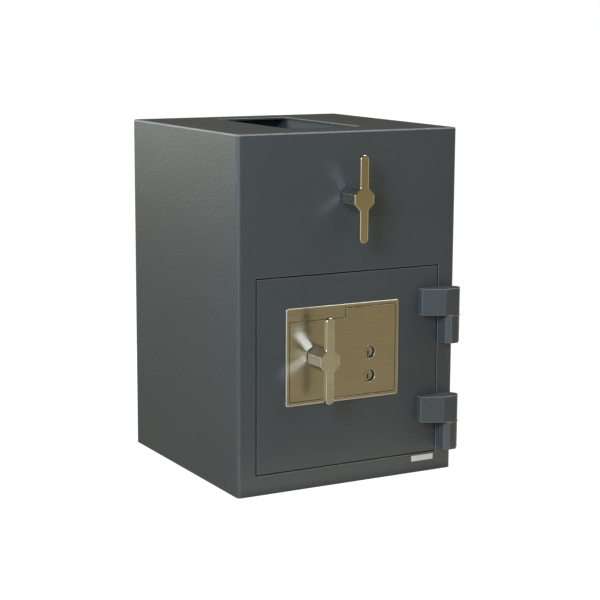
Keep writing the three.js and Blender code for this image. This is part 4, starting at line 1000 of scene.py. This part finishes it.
def handle_casting(x, z, base, front):
    """The bar's outline runs straight into the hub's eight sides. The hub stands a hair prouder than the
    bar's slab, so that the two solids join without a seam."""
    w, a, end = BAR_HALF, HUB / 2, HALF_LENGTH
    quarter = [(w, -end), (w, -a), (a, -w), (a, w), (w, a), (w, end)]
    corners = quarter + [(-p, -q) for p, q in quarter]
    radii = [BAR_END * w, BAR_TO_HUB, SLAB_CORNER, SLAB_CORNER, BAR_TO_HUB, BAR_END * w] * 2
    slab = round_corners(corners, radii, 8).reshape(-1, 2)
    hub = polygon(8, a / math.cos(math.pi / 8) + HUB_PROUD, HUB_CORNER, 5)
    shells = eased_block(slab, front - BAR_THICKNESS, front, HANDLE_EASE, steps=5)
    shells += eased_block(hub, base, front - HANDLE_EASE, HUB_EASE, steps=2)
    return shifted(facing_front(shells), x, 0, z)


for name, body, x, z in (
    ("hopper_handle", "hopper", 0, DRUM_AXIS_Z),
    ("door_handle", "handle_drive", HANDLE_X, HANDLE_Z),
):
    low, high = box_mm(name)
    casting = add_piece(name + "_casting", handle_casting(x, z, -high[1], -low[1]))
    # Only the hub's edges, behind the bar's slab, are painted paler: a painted highlight, with some wear.
    wear_and_highlight_edges(casting, lambda middles: np.where(middles[:, 1] > (low[1] + BAR_THICKNESS) * MM, 1.0, 0.0))
    dress(casting, cast_nickel, "nickel", body, name)
for name, body, x, z in (
    ("hopper_handle_washer", "cabinet", 0, DRUM_AXIS_Z),
    ("door_handle_washer", "door", HANDLE_X, HANDLE_Z),
):
    low, high = box_mm(name)
    radius = (high[0] - low[0]) / 2
    profile = ring_profile(HANDLE_WASHER_BORE, radius, -high[1], -low[1], HANDLE_WASHER_EASE)
    washer = add_piece(name + "_ring", shifted(facing_front(turned(profile)), x, 0, z))
    dress(washer, black_nylon, "black_nylon", body, name)


# Small plate on the bottom rail. A thin strip of bare aluminium with sheared, rounded corners, stuck to
# the paint below the door. Nothing is written on it.
LABEL_CORNER = 0.8
LABEL_EASE = 0.15
low, high = box_mm("label_plate")
outline = rectangle(low[0], low[2], high[0], high[2], LABEL_CORNER)
strip = eased_block(outline, -high[1], -low[1], LABEL_EASE, steps=2)
label = add_piece("label_plate_sheet", facing_front(strip))
pale = Finish("pale_aluminium", Metallic=0.0)
rub = pale.noise(scale=600, detail=3, stretch=(0.1, 1, 1))
pale.shows(
    Base_Color=pale.between(rub, (0.70, 0.70, 0.70), (0.84, 0.84, 0.84)),
    Roughness=0.35 + rub * 0.2,
)
dress(label, pale, "bare_aluminium", "cabinet", "label_plate")


# Studio. A pale floor, a cool key light and a window on the left, and a card behind the safe. The room
# that the nickel mirrors is brown on the left, warm low on the right and pale low in front. The camera
# stands where the photographer stood.
FLOOR_HALF = 30          # metres, as all sizes in the studio are
corners = [(x * FLOOR_HALF, y * FLOOR_HALF, 0) for x, y in ((-1, -1), (1, -1), (1, 1), (-1, 1))]
floor_mesh = bpy.data.meshes.new("floor")
floor_mesh.from_pydata(corners, [], [(0, 1, 2, 3)])
floor = bpy.data.objects.new("floor", floor_mesh)
bpy.context.scene.collection.objects.link(floor)
pale_floor = Finish(
    "pale_floor",
    Base_Color=(0.28, 0.28, 0.30, 1),
    Roughness=0.9,
    Specular_IOR_Level=0.0,
    Emission_Color=(1, 1, 1, 1),
    Emission_Strength=0.88,
)
floor.data.materials.append(pale_floor.material)
floor.visible_diffuse = False
floor.visible_glossy = False


def direction(azimuth, elevation):
    """Unit vector towards a direction, in degrees round from the front towards the right, and up."""
    a, e = math.radians(azimuth), math.radians(elevation)
    return Vector((math.sin(a) * math.cos(e), -math.cos(a) * math.cos(e), math.sin(e)))


def hang_lamp(name, width, height, power, colour):
    """A rectangular lamp that the camera doesn't see. Its holder is returned, to be placed and aimed."""
    lamp = bpy.data.lights.new(name, "AREA")
    lamp.shape = "RECTANGLE"
    lamp.size = width
    lamp.size_y = height
    lamp.energy = power
    lamp.color = colour
    holder = bpy.data.objects.new(name, lamp)
    holder.visible_camera = False
    bpy.context.scene.collection.objects.link(holder)
    return holder


# Each lamp's name, place, aim, size, power and colour.
LAMPS = [
    ("key", (-1.16, -1.04, 0.94), (0, 0, 0.25), 0.5, 15.60, (0.714, 0.867, 1.000)),
    ("card_behind_left", (-0.75, 0.95, 0.60), (-0.178, 0, 0.40), 0.7, 4.27, (0.966, 1.000, 0.816)),
    ("window_left", (-2.2, -0.3, 0.9), (0, 0, 0.3), 0.8, 22.11, (0.693, 0.864, 1.000)),
]
for name, place, aim, size, power, colour in LAMPS:
    holder = hang_lamp(name, size, size, power, colour)
    holder.location = place
    holder.rotation_mode = "QUATERNION"
    holder.rotation_quaternion = (Vector(place) - Vector(aim)).to_track_quat("Z", "Y")

# The card is brightest in its middle and fades to nothing at its sides. The spot is its place on the card,
# with the middle at one half.
CARD_STRENGTH = 6
card = Wires(bpy.data.lights["card_behind_left"])
spot = card.node("ShaderNodeNewGeometry", output=5)
away = card.node("ShaderNodeVectorMath", {"operation": "DISTANCE"}, {0: spot, 1: (0.5, 0.5, 0)}, output=1)
fade = (1 - away * 2).above(0)
card.feed(card.tree.nodes["Emission"], {"Strength": fade * fade * CARD_STRENGTH})

# The polished left and upper left sides of each hub throw the key light on, in two streaks over what is
# behind. A narrow lamp beside each side gives its streak, and shines along the mirrored beam.
# The loop gives each hub's axis in x and z, the y of its foot, and its two shares of the power.
TO_KEY = direction(-48, 24)
HUB_DEPTH = 0.030
GLINT_POWER = 0.0004
GLINT_WIDTH = 0.012
GLINT_SPREAD = math.radians(45)
GLINT_COLOUR = (0.74, 0.86, 1.0)
GLINT_ALONG = 0.0095
OFF_HUB = 0.2            # millimetres, as the hub's width and axis are
for hub, x, z, foot, left_share, high_share in (
    ("upper", 0, DRUM_AXIS_Z, -0.1795, 1, 1),
    ("lower", HANDLE_X, HANDLE_Z, -0.1805, 7, 6),
):
    for side, turn, share in (("left", 180, left_share), ("high", 135, high_share)):
        angle = math.radians(turn)
        outwards = Vector((math.cos(angle), 0, math.sin(angle)))
        heading = 2 * TO_KEY.dot(outwards) * outwards - TO_KEY
        across = Vector((0, 1, 0)) - heading.y * heading
        width = HUB_DEPTH * across.length
        power = GLINT_POWER * share
        holder = hang_lamp("glint_%s_%s" % (side, hub), width, GLINT_WIDTH, power, GLINT_COLOUR)
        holder.data.spread = GLINT_SPREAD
        on_side = Vector((x * MM, foot - HUB_DEPTH / 2, z * MM)) + outwards * (HUB / 2 + OFF_HUB) * MM
        across.normalize()
        axes = Matrix((across, across.cross(heading), -heading)).transposed().to_4x4()
        holder.matrix_world = Matrix.Translation(on_side + heading * GLINT_ALONG) @ axes

# A strip of warm paper lies at the foot of the front and shines up. Only the sheen of the paint shows it.
paper = hang_lamp("paper_at_foot", width=0.9, height=0.07, power=0.25, colour=(1.0, 0.88, 0.72))
paper.location = (0.12, -0.226, 0.002)
paper.rotation_euler = (math.pi, 0, 0)
paper.visible_diffuse = False

# The room is even but for glows, each with its azimuth, elevation, sharpness and colour. A glow falls off
# with the cosine of the angle from its middle, to the power of its sharpness. The narrow ones are for what
# the rims and castings mirror.
ROOM_EVEN = (0.075, 0.042, 0.000)
ROOM_GLOWS = [
    (0, 90, 4, (0.000, 0.053, 0.000)),
    (-110, 0, 4, (0.371, 0.256, 0.000)),
    (35, -15, 3, (0.208, 0.173, 0.086)),
    (0, -60, 4, (0.366, 0.389, 0.393)),
    (-75, 30, 4, (0.148, 0.082, 0.000)),
    (-32, -8, 8, (0.758, 0.770, 0.721)),
]
RIM_GLOWS = [
    (-61, -8, 30, (0.8, 0.85, 0.9)),
    (30, -12, 900, (0.26, 0.30, 0.27)),
    (70, 59, 30, (9.0, 9.0, 8.6)),
    (-169, 28, 30, (2.6, 2.7, 2.6)),
    (90, -5, 12, (1.5, 1.4, 1.1)),
]
WHITE = (1, 1, 1)
room_world = bpy.data.worlds.new("room")
bpy.context.scene.world = room_world
room = Wires(room_world)
gaze = room.node("ShaderNodeTexCoord", output=0)
glow = ROOM_EVEN
for azimuth, elevation, sharpness, colour in ROOM_GLOWS + RIM_GLOWS:
    pair = {0: gaze, 1: direction(azimuth, elevation)}
    facing = room.node("ShaderNodeVectorMath", {"operation": "DOT_PRODUCT"}, pair, output=1)
    glow = room.between(facing.above(0) ** sharpness, glow, colour, blend="ADD")
seen = room.between(room.node("ShaderNodeLightPath"), glow, WHITE)
room.feed(room.tree.nodes["Background"], {"Color": seen, "Strength": 1.0})
bpy.context.scene.view_settings.view_transform = "Standard"

CAMERA_AZIMUTH = -28.932
CAMERA_ELEVATION = 9.94
CAMERA_ROLL = math.radians(0.293)
CAMERA_DISTANCE = 2.515088
CAMERA_TARGET = Vector((0.017703, 0, 0.239087))
backwards = direction(CAMERA_AZIMUTH, CAMERA_ELEVATION)
right_hand = (-backwards).cross(Vector((0, 0, 1))).normalized()
upwards = right_hand.cross(-backwards)
across = right_hand * math.cos(CAMERA_ROLL) + upwards * math.sin(CAMERA_ROLL)
up = upwards * math.cos(CAMERA_ROLL) - right_hand * math.sin(CAMERA_ROLL)
lens = bpy.data.cameras.new("camera")
lens.sensor_width = 36
lens.lens = 99.163
lens.clip_start = 0.05
lens.clip_end = 100
camera = bpy.data.objects.new("camera", lens)
bpy.context.scene.collection.objects.link(camera)
axes = Matrix((across, up, backwards)).transposed().to_4x4()
camera.matrix_world = Matrix.Translation(CAMERA_TARGET + backwards * CAMERA_DISTANCE) @ axes
bpy.context.scene.camera = camera
